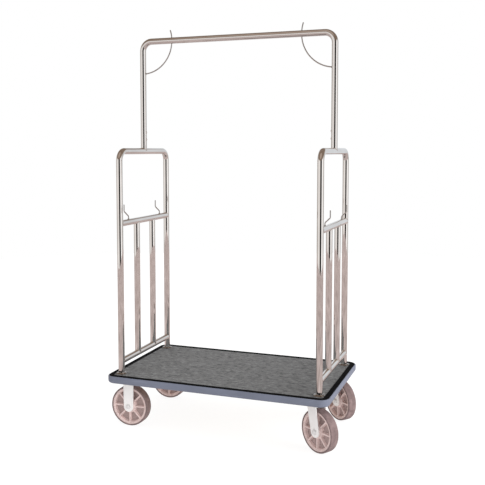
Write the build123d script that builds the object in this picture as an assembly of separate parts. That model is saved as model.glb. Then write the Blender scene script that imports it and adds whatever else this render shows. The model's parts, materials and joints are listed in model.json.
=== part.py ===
from build123d import *
from math import cos, radians, sin, sqrt
import os

# Hotel luggage cart: a carpeted deck on two rigid and two swivel casters, a railed
# frame of round tube at each end and a hanger bar standing on the two frames.
# Millimetres. +X runs along the deck to the swivel casters, +Y to the rear, +Z up.
# The origin is on the floor, under the middle of the deck.

# ---- driving dimensions ---------------------------------------------------------

# deck
DECK_LENGTH = 1143.0            # over the bumper
DECK_WIDTH = 673.0              # over the bumper
DECK_CORNER_RADIUS = 48.0
BUMPER_THICKNESS = 22.0
BUMPER_DROP = 11.65             # bumper bottom below the board
BUMPER_LIP = 6.0                # bumper shown outside the edge moulding
BUMPER_TOP_ROUND = 4.5
BUMPER_BOTTOM_ROUND = 11.0
BOARD_THICKNESS = 19.05
CARPET_THICKNESS = 5.0
MOULDING_WIDTH = 24.0           # top flange of the edge moulding
MOULDING_WALL = 3.0
MOULDING_RIB_WIDTH = 2.6
MOULDING_RIB_HEIGHT = 1.3
MOULDING_FOOT = 8.0             # flange under the board
END_PLATE_THICKNESS = 6.35
END_PLATE_MARGIN = 1.5          # end plate short of the moulding's foot
END_PLATE_LENGTH = 118.0

# tube frames
TUBE_DIAMETER = 31.75
TUBE_WALL = 1.5
HOOP_RISE = 1128.3              # board to the axis of the hoop's top
MID_RAIL_RISE = 767.3
LOW_RAIL_RISE = 69.3
HANGER_RISE = 570.0             # axis of the hoop's top to the axis of the hanger bar
BEND_RADIUS = 50.0              # to the tube's axis
SPINDLES_PER_END = 2

# tube fittings
SPIGOT_LENGTH = 104.0
SPIGOT_CLEARANCE = 0.15
HANGER_SCREW_HEIGHTS = (45.0, 82.0)   # above the top of the hoop
HANGER_SCREW_DIAMETER = 6.0
HANGER_SCREW_SEAT = 1.0         # head's flat underside, off the tube's side
PLUG_LENGTH = 30.0
UPRIGHT_BOLT_DIAMETER = 8.0
UPRIGHT_BOLT_HEAD = 16.5
UPRIGHT_BOLT_GRIP = 24.0        # thread inside the plug
FLANGE_WIDTH = 11.5             # from the tube to the rim
FLANGE_RIM = 1.6
FLANGE_RISE = 6.5
FLANGE_CLEARANCE = 0.15
FLANGE_END_MARGIN = 1.0         # flange to the carpet's end edge
FLANGE_SIDE_MARGIN = 12.0       # flange to the carpet's long edge
FLANGE_SCREW_COUNT = 4
FLANGE_SCREW_INSET = 5.9        # screw to the flange's rim
FLANGE_SCREW_DIAMETER = 3.6
FLANGE_SCREW_HEAD = 7.6
FLANGE_SEAT_CLEARANCE = 0.3

# hooks
GARMENT_ROD_DIAMETER = 6.4
GARMENT_ROD_RADIUS = 167.0      # from the corner where leg and bar axes meet
GARMENT_ROD_RISE = 51.0         # tip above the bar's axis
RAIL_HOOK_DIAMETER = 6.0
RAIL_HOOK_LEAN = 25.0           # tip outside the rail's axis
RAIL_HOOK_FOOT = 14.0           # upright start, above the rail
RAIL_HOOK_ELBOW = 37.0          # where the tip turns upright, above the rail
RAIL_HOOK_RISE = 73.0           # tip above the rail
RAIL_HOOK_BEND = 12.0

# casters
WHEEL_DIAMETER = 203.2
TREAD_WIDTH = 49.0
TREAD_SHOULDER = 6.0
TYRE_THICKNESS = 8.0
RIM_THICKNESS = 10.0
RIM_WIDTH = 44.0
WEB_THICKNESS = 9.0
SPOKE_COUNT = 8
SPOKE_WIDTH = 7.0
SPOKE_DEPTH = 36.0              # across the wheel
CORE_OVERLAP = 1.0              # web and spokes into hub and rim
HUB_DIAMETER = 60.0
HUB_LENGTH = 56.0
BEARING_DIAMETER = 32.0
BEARING_LENGTH = 50.0
AXLE_DIAMETER = 12.0
AXLE_HEAD_WIDTH = 18.0          # across flats, of head and nut
AXLE_HEAD_HEIGHT = 7.2
AXLE_THREAD_END = 1.1           # past the nut
SLEEVE_DIAMETER = 19.0
AXLE_CLEARANCE = 0.15
BEARING_CLEARANCE = 0.05
HUB_SIDE_CLEARANCE = 0.5
CASTER_HEADROOM = 38.1          # wheel to the top of the mounting plate
CASTER_PLATE = 112.0
CASTER_PLATE_CORNER = 8.0
CASTER_END_MARGIN = 2.0         # mounting plate to the end plate's outer edge
CASTER_SIDE_MARGIN = 15.0       # mounting plate to the end plate's end
CASTER_PLATE_THICKNESS = 5.0
CASTER_BOLT_SPACING = 92.0
CASTER_BOLT_DIAMETER = 8.0
CASTER_BOLT_HEAD_WIDTH = 12.8   # across flats
CASTER_BOLT_HEAD_HEIGHT = 5.2
FORK_WALL = 4.8
FORK_LEG_WIDTH = 56.0
FORK_BELOW_AXLE = 26.0
SWIVEL_TRAIL = 42.0
SWIVEL_LEG_TOP = 56.0
SWIVEL_LEG_LEAD = 20.0          # middle of the leg's top, ahead of the kingpin
SWIVEL_CROWN_BACK = 33.0        # crown behind the kingpin
SWIVEL_ANGLES = {"front": 32.3, "rear": 39.9}   # degrees the swivels stand turned
RACE_HEIGHT = 12.0
RACE_DIAMETER = 62.0
RACE_CLEARANCE = 0.3
BALL_DIAMETER = 7.9
BALL_CIRCLE = 44.0
BALL_COUNT = 12
KINGPIN_DIAMETER = 16.0
KINGPIN_HEAD = 26.0
KINGPIN_HEAD_THICKNESS = 5.0
KINGPIN_CLEARANCE = 0.05

# fasteners
THREAD_CLEARANCE = 0.05
BOLT_HOLE_CLEARANCE = 0.2
PLATE_SCREW_DIAMETER = 5.0
PLATE_SCREW_HEAD = 9.6
PLATE_SCREW_LENGTH = 20.0
PLATE_SCREWS_PER_END = 4
PLATE_SCREW_SPREAD = 300.0      # first screw to last

# ---- levels and places that follow ------------------------------------------------

TUBE_RADIUS = TUBE_DIAMETER / 2
TUBE_BORE_RADIUS = TUBE_RADIUS - TUBE_WALL
WHEEL_RADIUS = WHEEL_DIAMETER / 2
CASTER_HEIGHT = WHEEL_DIAMETER + CASTER_HEADROOM
BOARD_BOTTOM = CASTER_HEIGHT + END_PLATE_THICKNESS
BOARD_TOP = BOARD_BOTTOM + BOARD_THICKNESS
CARPET_TOP = BOARD_TOP + CARPET_THICKNESS
BUMPER_BOTTOM = BOARD_BOTTOM - BUMPER_DROP
BOARD_INSET = BUMPER_THICKNESS + MOULDING_WALL
CARPET_INSET = BUMPER_LIP + MOULDING_WIDTH
FLANGE_DIAMETER = TUBE_DIAMETER + 2 * FLANGE_WIDTH
UPRIGHT_X = DECK_LENGTH / 2 - CARPET_INSET - FLANGE_END_MARGIN - FLANGE_DIAMETER / 2
UPRIGHT_Y = DECK_WIDTH / 2 - CARPET_INSET - FLANGE_SIDE_MARGIN - FLANGE_DIAMETER / 2
HOOP_HEIGHT = BOARD_TOP + HOOP_RISE
MID_RAIL_HEIGHT = BOARD_TOP + MID_RAIL_RISE
LOW_RAIL_HEIGHT = BOARD_TOP + LOW_RAIL_RISE
BAR_HEIGHT = HOOP_HEIGHT + HANGER_RISE
BAY = 2 * UPRIGHT_Y / (SPINDLES_PER_END + 1)       # between neighbouring verticals
SPINDLE_Y = BAY / 2
RAIL_HOOK_Y = UPRIGHT_Y - BAY / 2
END_PLATE_INSET = BOARD_INSET + MOULDING_FOOT + END_PLATE_MARGIN
CASTER_X = DECK_LENGTH / 2 - END_PLATE_INSET - CASTER_END_MARGIN - CASTER_PLATE / 2
CASTER_Y = DECK_WIDTH / 2 - END_PLATE_INSET - CASTER_SIDE_MARGIN - CASTER_PLATE / 2
RIM_OUTER_RADIUS = WHEEL_RADIUS - TYRE_THICKNESS
RIM_INNER_RADIUS = RIM_OUTER_RADIUS - RIM_THICKNESS
PLATE_BOTTOM = CASTER_HEIGHT - CASTER_PLATE_THICKNESS
FORK_GAP = HUB_LENGTH + 2 * HUB_SIDE_CLEARANCE
ENDS = {"left": -1, "right": 1}
SIDES = {"front": -1, "rear": 1}


# ---- shared shapes ------------------------------------------------------------------

def rod(start, end, diameter):
    """Solid round bar between two points."""
    run = Vector(*end) - Vector(*start)
    foot = Plane(origin=start, z_dir=run)
    return foot * Cylinder(diameter / 2, run.length, align=(Align.CENTER, Align.CENTER, Align.MIN))


def tube(start, end):
    """Straight length of the frame tube."""
    return rod(start, end, TUBE_DIAMETER) - rod(start, end, 2 * TUBE_BORE_RADIUS)


def bent_rod(path, diameter):
    """Round bar that follows a smooth path."""
    return sweep(Plane(origin=path @ 0, z_dir=path % 0) * Circle(diameter / 2), path)


def bent_tube(path):
    """Frame tube that follows a smooth path."""
    return bent_rod(path, TUBE_DIAMETER) - bent_rod(path, 2 * TUBE_BORE_RADIUS)


def slab(outline, bottom, top):
    """Flat outline raised between two levels."""
    return extrude(Plane.XY.offset(bottom) * outline, top - bottom)


def ring(outer_diameter, inner_diameter, bottom, top):
    """Flat ring about the Z axis."""
    return slab(Circle(outer_diameter / 2) - Circle(inner_diameter / 2), bottom, top)


def deck_slab(inset, bottom, top):
    """Deck outline drawn in by an inset, raised between two levels."""
    outline = RectangleRounded(
        DECK_LENGTH - 2 * inset, DECK_WIDTH - 2 * inset, DECK_CORNER_RADIUS - inset
    )
    return slab(outline, bottom, top)


def deck_ring(outer_inset, inner_inset, bottom, top):
    """Band that runs round the deck between two insets."""
    return deck_slab(outer_inset, bottom, top) - deck_slab(inner_inset, bottom, top)


def flat_head_screw(diameter, head_diameter, length):
    """Countersunk screw pointing up from the origin, its head flush with the XY plane."""
    head_depth = (head_diameter - diameter) / 2
    head = Cone(head_diameter / 2, diameter / 2, head_depth, align=(Align.CENTER, Align.CENTER, Align.MIN))
    return head + rod((0, 0, 0), (0, 0, length), diameter)


def hex_prism(across_flats, bottom, top):
    """Hexagonal bolt head or nut about the Z axis."""
    return slab(RegularPolygon(across_flats / 2, 6, major_radius=False), bottom, top)


def placed(shape, *spots):
    """Copies of a shape at several places, kept as separate solids."""
    return Compound(children=[Pos(*spot) * shape for spot in spots])


def upright_spots(height):
    return [(end * UPRIGHT_X, side * UPRIGHT_Y, height) for end in ENDS.values() for side in SIDES.values()]


def caster_spots(height):
    return [(end * CASTER_X, side * CASTER_Y, height) for end in ENDS.values() for side in SIDES.values()]


def square_spots(spacing, height=0.0):
    half = spacing / 2
    return [(x, y, height) for x in (-half, half) for y in (-half, half)]


def cut_all(shape, cutter, spots):
    for spot in spots:
        shape -= Pos(*spot) * cutter
    return shape


# ---- deck ------------------------------------------------------------------------------

def flange_screw_spots(height):
    """Screws on a circle round every upright, turned 45 degrees from the deck's edges."""
    radius = FLANGE_DIAMETER / 2 - FLANGE_SCREW_INSET
    turns = [45 + 360 / FLANGE_SCREW_COUNT * i for i in range(FLANGE_SCREW_COUNT)]
    offsets = [(radius * cos(radians(turn)), radius * sin(radians(turn))) for turn in turns]
    return [(x + dx, y + dy, height) for x, y, _ in upright_spots(0) for dx, dy in offsets]


def plate_screw_spots(height):
    x = DECK_LENGTH / 2 - END_PLATE_INSET - END_PLATE_LENGTH + PLATE_SCREW_HEAD
    pitch = PLATE_SCREW_SPREAD / (PLATE_SCREWS_PER_END - 1)
    ys = [pitch * i - PLATE_SCREW_SPREAD / 2 for i in range(PLATE_SCREWS_PER_END)]
    return [(end * x, y, height) for end in ENDS.values() for y in ys]


FLANGE_SCREW_TOP = CARPET_TOP + (FLANGE_RIM + FLANGE_RISE) / 2
FLANGE_SCREW_LENGTH = FLANGE_SCREW_TOP - BOARD_BOTTOM - BOARD_THICKNESS / 4


def deck_board():
    board = deck_slab(BOARD_INSET, BOARD_BOTTOM, BOARD_TOP)
    bolt_hole = rod((0, 0, 0), (0, 0, BOARD_THICKNESS), UPRIGHT_BOLT_DIAMETER + 2 * BOLT_HOLE_CLEARANCE)
    board = cut_all(board, bolt_hole, upright_spots(BOARD_BOTTOM))
    pilot = rod((0, 0, 0), (0, 0, -FLANGE_SCREW_LENGTH), FLANGE_SCREW_DIAMETER + 2 * THREAD_CLEARANCE)
    board = cut_all(board, pilot, flange_screw_spots(FLANGE_SCREW_TOP))
    pilot = rod((0, 0, 0), (0, 0, PLATE_SCREW_LENGTH), PLATE_SCREW_DIAMETER + 2 * THREAD_CLEARANCE)
    return cut_all(board, pilot, plate_screw_spots(CASTER_HEIGHT))


def deck_carpet():
    carpet = deck_slab(CARPET_INSET, BOARD_TOP, CARPET_TOP)
    tube_hole = rod((0, 0, 0), (0, 0, CARPET_THICKNESS), TUBE_DIAMETER + 2 * FLANGE_CLEARANCE)
    carpet = cut_all(carpet, tube_hole, upright_spots(BOARD_TOP))
    screw_hole = rod((0, 0, 0), (0, 0, CARPET_THICKNESS), FLANGE_SCREW_DIAMETER + 2 * THREAD_CLEARANCE)
    return cut_all(carpet, screw_hole, flange_screw_spots(BOARD_TOP))


def edge_moulding():
    """Black channel: flange over the board's edge, web down its side, foot under it."""
    flange = deck_ring(BUMPER_LIP, CARPET_INSET, BOARD_TOP, CARPET_TOP)
    web = deck_ring(BUMPER_THICKNESS, BOARD_INSET, BOARD_BOTTOM - MOULDING_WALL, BOARD_TOP)
    foot_inset = BOARD_INSET + MOULDING_FOOT
    foot = deck_ring(BUMPER_THICKNESS, foot_inset, BOARD_BOTTOM - MOULDING_WALL, BOARD_BOTTOM)
    rib_top = CARPET_TOP + MOULDING_RIB_HEIGHT
    outer_rib = deck_ring(BUMPER_LIP, BUMPER_LIP + MOULDING_RIB_WIDTH, CARPET_TOP, rib_top)
    inner_rib = deck_ring(CARPET_INSET - MOULDING_RIB_WIDTH, CARPET_INSET, CARPET_TOP, rib_top)
    return flange + web + foot + outer_rib + inner_rib


def bumper():
    """Grey vinyl strip round the deck, with a lip that hides the moulding's outer edge."""
    band = deck_slab(0, BUMPER_BOTTOM, CARPET_TOP)
    band = fillet(band.faces().sort_by(Axis.Z)[0].outer_wire().edges(), BUMPER_BOTTOM_ROUND)
    band = fillet(band.faces().sort_by(Axis.Z)[-1].outer_wire().edges(), BUMPER_TOP_ROUND)
    band -= deck_slab(BUMPER_THICKNESS, BUMPER_BOTTOM, CARPET_TOP)
    return band - deck_slab(BUMPER_LIP, BOARD_TOP, CARPET_TOP)


def end_plate(end):
    """Steel plate under the board that the casters and uprights are bolted to."""
    centre = DECK_LENGTH / 2 - END_PLATE_INSET - END_PLATE_LENGTH / 2
    width = DECK_WIDTH - 2 * END_PLATE_INSET
    corner = DECK_CORNER_RADIUS - END_PLATE_INSET + END_PLATE_MARGIN
    outline = Pos(end * centre, 0) * RectangleRounded(END_PLATE_LENGTH, width, corner)
    plate = slab(outline, CASTER_HEIGHT, BOARD_BOTTOM)
    bolt = flat_head_screw(
        UPRIGHT_BOLT_DIAMETER + 2 * BOLT_HOLE_CLEARANCE, UPRIGHT_BOLT_HEAD, END_PLATE_THICKNESS
    )
    plate = cut_all(plate, bolt, [spot for spot in upright_spots(CASTER_HEIGHT) if spot[0] * end > 0])
    screw = flat_head_screw(
        PLATE_SCREW_DIAMETER + 2 * BOLT_HOLE_CLEARANCE, PLATE_SCREW_HEAD, END_PLATE_THICKNESS
    )
    plate = cut_all(plate, screw, [spot for spot in plate_screw_spots(CASTER_HEIGHT) if spot[0] * end > 0])
    tapped = rod((0, 0, 0), (0, 0, END_PLATE_THICKNESS), CASTER_BOLT_DIAMETER + 2 * THREAD_CLEARANCE)
    for x, y, z in caster_spots(CASTER_HEIGHT):
        if x * end > 0:
            plate = cut_all(plate, Pos(x, y, z) * tapped, square_spots(CASTER_BOLT_SPACING))
    return plate


def end_plate_screws():
    screw = flat_head_screw(PLATE_SCREW_DIAMETER, PLATE_SCREW_HEAD, PLATE_SCREW_LENGTH)
    return placed(screw, *plate_screw_spots(CASTER_HEIGHT))


# ---- end frames --------------------------------------------------------------------------

def upright_blank(x, y):
    """Solid stand-in for an upright, used to cope the rails that meet it."""
    return rod((x, y, BOARD_TOP), (x, y, HOOP_HEIGHT), TUBE_DIAMETER)


def rail_blank(end, height):
    """Solid stand-in for a rail or the hoop's top, used to cope what stands on it."""
    x = end * UPRIGHT_X
    return rod((x, -UPRIGHT_Y, height), (x, UPRIGHT_Y, height), TUBE_DIAMETER)


def hoop(end):
    """Two uprights and the top between them, bent from one tube."""
    x = end * UPRIGHT_X
    path = FilletPolyline(
        (x, -UPRIGHT_Y, BOARD_TOP),
        (x, -UPRIGHT_Y, HOOP_HEIGHT),
        (x, UPRIGHT_Y, HOOP_HEIGHT),
        (x, UPRIGHT_Y, BOARD_TOP),
        radius=BEND_RADIUS,
    )
    return bent_tube(path)


def rail(end, height):
    """Cross tube, coped to the two uprights."""
    x = end * UPRIGHT_X
    cross = tube((x, -UPRIGHT_Y, height), (x, UPRIGHT_Y, height))
    return cross - upright_blank(x, -UPRIGHT_Y) - upright_blank(x, UPRIGHT_Y)


def spindle(end, side):
    """Upright tube between the two rails, coped to both."""
    x, y = end * UPRIGHT_X, side * SPINDLE_Y
    post = tube((x, y, LOW_RAIL_HEIGHT), (x, y, MID_RAIL_HEIGHT))
    return post - rail_blank(end, LOW_RAIL_HEIGHT) - rail_blank(end, MID_RAIL_HEIGHT)


def rail_hook(end, side):
    """Bent wire that leans outward from the mid rail and ends upright."""
    x, y = end * UPRIGHT_X, side * RAIL_HOOK_Y
    rail_top = MID_RAIL_HEIGHT + TUBE_RADIUS
    tip_x = x + end * RAIL_HOOK_LEAN
    path = FilletPolyline(
        (x, y, MID_RAIL_HEIGHT),
        (x, y, rail_top + RAIL_HOOK_FOOT),
        (tip_x, y, rail_top + RAIL_HOOK_ELBOW),
        (tip_x, y, rail_top + RAIL_HOOK_RISE - RAIL_HOOK_DIAMETER / 2),
        radius=RAIL_HOOK_BEND,
    )
    wire = bent_rod(path, RAIL_HOOK_DIAMETER) + Pos(*(path @ 1)) * Sphere(RAIL_HOOK_DIAMETER / 2)
    return wire - rail_blank(end, MID_RAIL_HEIGHT)


def floor_flange():
    """Domed ring round the foot of an upright, drilled for its screws."""
    bore = TUBE_RADIUS + FLANGE_CLEARANCE
    rim = FLANGE_DIAMETER / 2
    shoulder = bore + (rim - bore) / 4
    with BuildPart() as flange:
        with BuildSketch(Plane.XZ):
            with BuildLine():
                outside = Line((bore, 0), (rim, 0))
                edge = Line(outside @ 1, (rim, FLANGE_RIM))
                top = (bore, FLANGE_RISE)
                dome = Spline(edge @ 1, (shoulder, FLANGE_RISE), tangents=[(-1, 1), (-1, 0)])
                flat = Line(dome @ 1, top)
                Line(flat @ 1, (bore, 0))
            make_face()
        revolve(axis=Axis.Z)
    return flange.part


def floor_flanges():
    blank = floor_flange()
    seat_diameter = FLANGE_SCREW_HEAD + 2 * FLANGE_SEAT_CLEARANCE
    seat = rod((0, 0, FLANGE_SCREW_TOP), (0, 0, FLANGE_SCREW_TOP + FLANGE_RISE), seat_diameter)
    hole = rod((0, 0, CARPET_TOP), (0, 0, FLANGE_SCREW_TOP), FLANGE_SCREW_DIAMETER + 2 * BOLT_HOLE_CLEARANCE)
    flanges = []
    for x, y, z in upright_spots(CARPET_TOP):
        near = [spot for spot in flange_screw_spots(0) if abs(spot[0] - x) < FLANGE_DIAMETER
                and abs(spot[1] - y) < FLANGE_DIAMETER]
        flanges.append(cut_all(Pos(x, y, z) * blank, seat + hole, near))
    return Compound(children=flanges)


def floor_flange_screws():
    """Button-headed screws from the flange down into the board."""
    cap = Sphere(FLANGE_SCREW_HEAD / 2) & Pos(0, 0, FLANGE_SCREW_HEAD / 2) * Box(
        FLANGE_SCREW_HEAD, FLANGE_SCREW_HEAD, FLANGE_SCREW_HEAD
    )
    shank = rod((0, 0, 0), (0, 0, -FLANGE_SCREW_LENGTH), FLANGE_SCREW_DIAMETER)
    return placed(cap + shank, *flange_screw_spots(FLANGE_SCREW_TOP))


def upright_plugs():
    """Tapped plug in the foot of each upright."""
    plug = rod((0, 0, 0), (0, 0, PLUG_LENGTH), 2 * (TUBE_BORE_RADIUS - SPIGOT_CLEARANCE))
    plug -= rod((0, 0, 0), (0, 0, PLUG_LENGTH), UPRIGHT_BOLT_DIAMETER + 2 * THREAD_CLEARANCE)
    return placed(plug, *upright_spots(BOARD_TOP))


def upright_bolts():
    """Countersunk bolts up through end plate and board into the plugs."""
    length = END_PLATE_THICKNESS + BOARD_THICKNESS + UPRIGHT_BOLT_GRIP
    bolt = flat_head_screw(UPRIGHT_BOLT_DIAMETER, UPRIGHT_BOLT_HEAD - 2 * BOLT_HOLE_CLEARANCE, length)
    return placed(bolt, *upright_spots(CASTER_HEIGHT))


# ---- hanger bar ----------------------------------------------------------------------------

def garment_rod_path(end):
    """Arc about the corner of the hanger: from the leg, up through the bar, to the tip."""
    corner = Vector(end * UPRIGHT_X, 0, BAR_HEIGHT)
    reach = sqrt(GARMENT_ROD_RADIUS ** 2 - GARMENT_ROD_RISE ** 2)
    start = corner + Vector(0, 0, -GARMENT_ROD_RADIUS)
    middle = corner + Vector(-end, 0, -1).normalized() * GARMENT_ROD_RADIUS
    tip = corner + Vector(-end * reach, 0, GARMENT_ROD_RISE)
    return ThreePointArc(start, middle, tip)


def hanger_leg_blank(end):
    x = end * UPRIGHT_X
    return rod((x, 0, HOOP_HEIGHT), (x, 0, BAR_HEIGHT), TUBE_DIAMETER)


def hanger_screw_spots(end):
    hoop_top = HOOP_HEIGHT + TUBE_RADIUS
    return [(end * (UPRIGHT_X - TUBE_RADIUS), 0, hoop_top + height) for height in HANGER_SCREW_HEIGHTS]


def hanger_bar():
    """Two legs and the bar between them, bent from one tube and drilled for the rods."""
    path = FilletPolyline(
        (-UPRIGHT_X, 0, HOOP_HEIGHT),
        (-UPRIGHT_X, 0, BAR_HEIGHT),
        (UPRIGHT_X, 0, BAR_HEIGHT),
        (UPRIGHT_X, 0, HOOP_HEIGHT),
        radius=BEND_RADIUS,
    )
    bar = bent_tube(path)
    for end in ENDS.values():
        bar -= rail_blank(end, HOOP_HEIGHT)
        hole = bent_rod(garment_rod_path(end), GARMENT_ROD_DIAMETER + 2 * BOLT_HOLE_CLEARANCE)
        bar -= hole - hanger_leg_blank(end)
        for x, y, z in hanger_screw_spots(end):
            bar -= rod((x, y, z), (end * UPRIGHT_X, y, z), HANGER_SCREW_DIAMETER + 2 * BOLT_HOLE_CLEARANCE)
    return bar


def hanger_spigots():
    """Stubs welded to the hoops, inside the feet of the hanger's legs."""
    stubs = []
    for end in ENDS.values():
        x = end * UPRIGHT_X
        top = HOOP_HEIGHT + TUBE_RADIUS + SPIGOT_LENGTH
        stub = rod((x, 0, HOOP_HEIGHT), (x, 0, top), 2 * (TUBE_BORE_RADIUS - SPIGOT_CLEARANCE))
        stub -= rail_blank(end, HOOP_HEIGHT)
        for _, y, z in hanger_screw_spots(end):
            stub -= rod((0, y, z), (x, y, z), HANGER_SCREW_DIAMETER + 2 * THREAD_CLEARANCE)
        stubs.append(stub)
    return Compound(children=stubs)


def hanger_screws():
    """Button-headed screws through the inner side of each leg into its spigot."""
    screws = []
    for end in ENDS.values():
        for x, y, z in hanger_screw_spots(end):
            seat = (x - end * HANGER_SCREW_SEAT, y, z)
            saddle = (x + end * HANGER_SCREW_SEAT, y, z)
            centre = (end * UPRIGHT_X, y, z)
            shank = rod(seat, centre, HANGER_SCREW_DIAMETER)
            head = Pos(*seat) * Sphere(HANGER_SCREW_DIAMETER)
            head -= rod(seat, centre, 4 * HANGER_SCREW_DIAMETER)
            neck = rod(seat, saddle, 2 * HANGER_SCREW_DIAMETER) - hanger_leg_blank(end)
            screws.append(head + neck + shank)
    return Compound(children=screws)


def garment_hook(end):
    """Corner rod: joined to the leg, free through the bar, its tip a hook above it."""
    path = garment_rod_path(end)
    arc = bent_rod(path, GARMENT_ROD_DIAMETER) + Pos(*(path @ 1)) * Sphere(GARMENT_ROD_DIAMETER / 2)
    return arc - hanger_leg_blank(end)


# ---- casters ---------------------------------------------------------------------------------
# A caster is drawn with its mounting plate centred over the origin, its wheel trailing
# towards +X and its axle along Y. It is then turned and moved to its place.

def caster_place(end, side):
    """Place and turn of the caster at one corner of the deck."""
    turn = -SWIVEL_ANGLES[side] if end == "right" else 0.0
    return Pos(ENDS[end] * CASTER_X, SIDES[side] * CASTER_Y, 0) * Rot(0, 0, turn)


def mounting_plate():
    outline = RectangleRounded(CASTER_PLATE, CASTER_PLATE, CASTER_PLATE_CORNER)
    plate = slab(outline, PLATE_BOTTOM, CASTER_HEIGHT)
    hole = rod((0, 0, 0), (0, 0, CASTER_PLATE_THICKNESS), CASTER_BOLT_DIAMETER + 2 * BOLT_HOLE_CLEARANCE)
    return cut_all(plate, hole, square_spots(CASTER_BOLT_SPACING, PLATE_BOTTOM))


def fork_legs(trail, lead, top_width, top):
    """Two flat legs, rounded below the axle, their tops centred a lead ahead of the origin."""
    foot = Pos(trail, WHEEL_RADIUS) * Circle(FORK_BELOW_AXLE)
    shoulder = Pos(lead, top - FORK_WALL / 2) * Rectangle(top_width, FORK_WALL)
    outline = make_hull(foot.edges() + shoulder.edges())
    leg = extrude(Plane.XZ * outline, FORK_WALL)
    outer = FORK_GAP / 2 + FORK_WALL
    legs = Pos(0, -FORK_GAP / 2, 0) * leg + Pos(0, outer, 0) * leg
    return legs - rod((trail, -outer, WHEEL_RADIUS), (trail, outer, WHEEL_RADIUS),
                      AXLE_DIAMETER + 2 * AXLE_CLEARANCE)


def rigid_fork():
    """Mounting plate with a folded saddle and two straight legs, in one welded piece."""
    legs = fork_legs(0, 0, FORK_LEG_WIDTH, PLATE_BOTTOM)
    outer = FORK_GAP + 2 * FORK_WALL
    saddle = slab(Rectangle(FORK_LEG_WIDTH, outer), PLATE_BOTTOM - FORK_WALL, PLATE_BOTTOM)
    return mounting_plate() + saddle + legs


RACE_TOP = PLATE_BOTTOM - RACE_CLEARANCE
CROWN_TOP = RACE_TOP - RACE_HEIGHT
CROWN_BOTTOM = CROWN_TOP - FORK_WALL


def swivel_fork():
    """Crown under the ball race with two raked legs."""
    outer = FORK_GAP + 2 * FORK_WALL
    crown_front = SWIVEL_LEG_LEAD + SWIVEL_LEG_TOP / 2
    outline = Rectangle(SWIVEL_CROWN_BACK + crown_front, outer)
    crown = slab(Pos((crown_front - SWIVEL_CROWN_BACK) / 2, 0) * outline, CROWN_BOTTOM, CROWN_TOP)
    fork = crown + fork_legs(SWIVEL_TRAIL, SWIVEL_LEG_LEAD, SWIVEL_LEG_TOP, CROWN_TOP)
    return fork - rod((0, 0, CROWN_BOTTOM), (0, 0, CROWN_TOP), KINGPIN_DIAMETER + 2 * KINGPIN_CLEARANCE)


def swivel_race():
    """Race welded on the crown, with a groove that the balls run in."""
    race = ring(RACE_DIAMETER, KINGPIN_DIAMETER + 2 * KINGPIN_CLEARANCE, CROWN_TOP, RACE_TOP)
    groove_radius = BALL_DIAMETER / 2 + RACE_CLEARANCE / 2
    groove = Pos(0, 0, RACE_TOP - BALL_DIAMETER / 2) * Torus(BALL_CIRCLE / 2, groove_radius)
    mouth = ring(BALL_CIRCLE + 2 * groove_radius, BALL_CIRCLE - 2 * groove_radius,
                 RACE_TOP - BALL_DIAMETER / 2, RACE_TOP)
    return race - groove - mouth


def race_balls():
    height = RACE_TOP - BALL_DIAMETER / 2 - RACE_CLEARANCE / 2
    spots = PolarLocations(BALL_CIRCLE / 2, BALL_COUNT)
    return Compound(children=[Pos(0, 0, height) * spot * Sphere(BALL_DIAMETER / 2) for spot in spots])


def kingpin():
    """Pin riveted into the mounting plate, its head under the fork's crown."""
    pin = rod((0, 0, CROWN_BOTTOM - RACE_CLEARANCE), (0, 0, CASTER_HEIGHT), KINGPIN_DIAMETER)
    head_top = CROWN_BOTTOM - RACE_CLEARANCE
    return pin + rod((0, 0, head_top - KINGPIN_HEAD_THICKNESS), (0, 0, head_top), KINGPIN_HEAD)


def swivel_plate():
    return mounting_plate() - rod((0, 0, PLATE_BOTTOM), (0, 0, CASTER_HEIGHT), KINGPIN_DIAMETER)


def caster_bolts():
    """Hex bolts up through every mounting plate into the end plates."""
    bolt = hex_prism(CASTER_BOLT_HEAD_WIDTH, PLATE_BOTTOM - CASTER_BOLT_HEAD_HEIGHT, PLATE_BOTTOM)
    bolt += rod((0, 0, PLATE_BOTTOM), (0, 0, BOARD_BOTTOM), CASTER_BOLT_DIAMETER)
    bolts = []
    for end in ENDS:
        for side in SIDES:
            corner = Pos(ENDS[end] * CASTER_X, SIDES[side] * CASTER_Y, 0)
            bolts += [corner * Pos(*spot) * bolt for spot in square_spots(CASTER_BOLT_SPACING)]
    return Compound(children=bolts)


def on_axle(shape, trail):
    """Lay a shape drawn about Z onto the axle."""
    return Pos(trail, 0, WHEEL_RADIUS) * Rot(90, 0, 0) * shape


def axle_fasteners(trail):
    """Axle bolt with its head outside the front leg, and its nut behind the rear leg."""
    outer = FORK_GAP / 2 + FORK_WALL
    nut_face = -outer - AXLE_HEAD_HEIGHT
    bolt = hex_prism(AXLE_HEAD_WIDTH, outer, outer + AXLE_HEAD_HEIGHT)
    bolt += rod((0, 0, outer), (0, 0, nut_face - AXLE_THREAD_END), AXLE_DIAMETER)
    nut = hex_prism(AXLE_HEAD_WIDTH, nut_face, -outer)
    nut -= rod((0, 0, nut_face), (0, 0, -outer), AXLE_DIAMETER + 2 * THREAD_CLEARANCE)
    return [on_axle(bolt, trail), on_axle(nut, trail)]


def axle_sleeve(trail):
    """Spacer between the fork's legs that the wheel bearing runs on."""
    sleeve = ring(SLEEVE_DIAMETER, AXLE_DIAMETER + 2 * AXLE_CLEARANCE, -FORK_GAP / 2, FORK_GAP / 2)
    return on_axle(sleeve, trail)


def wheel_bearing(trail):
    bearing = ring(
        BEARING_DIAMETER, SLEEVE_DIAMETER + 2 * BEARING_CLEARANCE, -BEARING_LENGTH / 2, BEARING_LENGTH / 2
    )
    return on_axle(bearing, trail)


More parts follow.
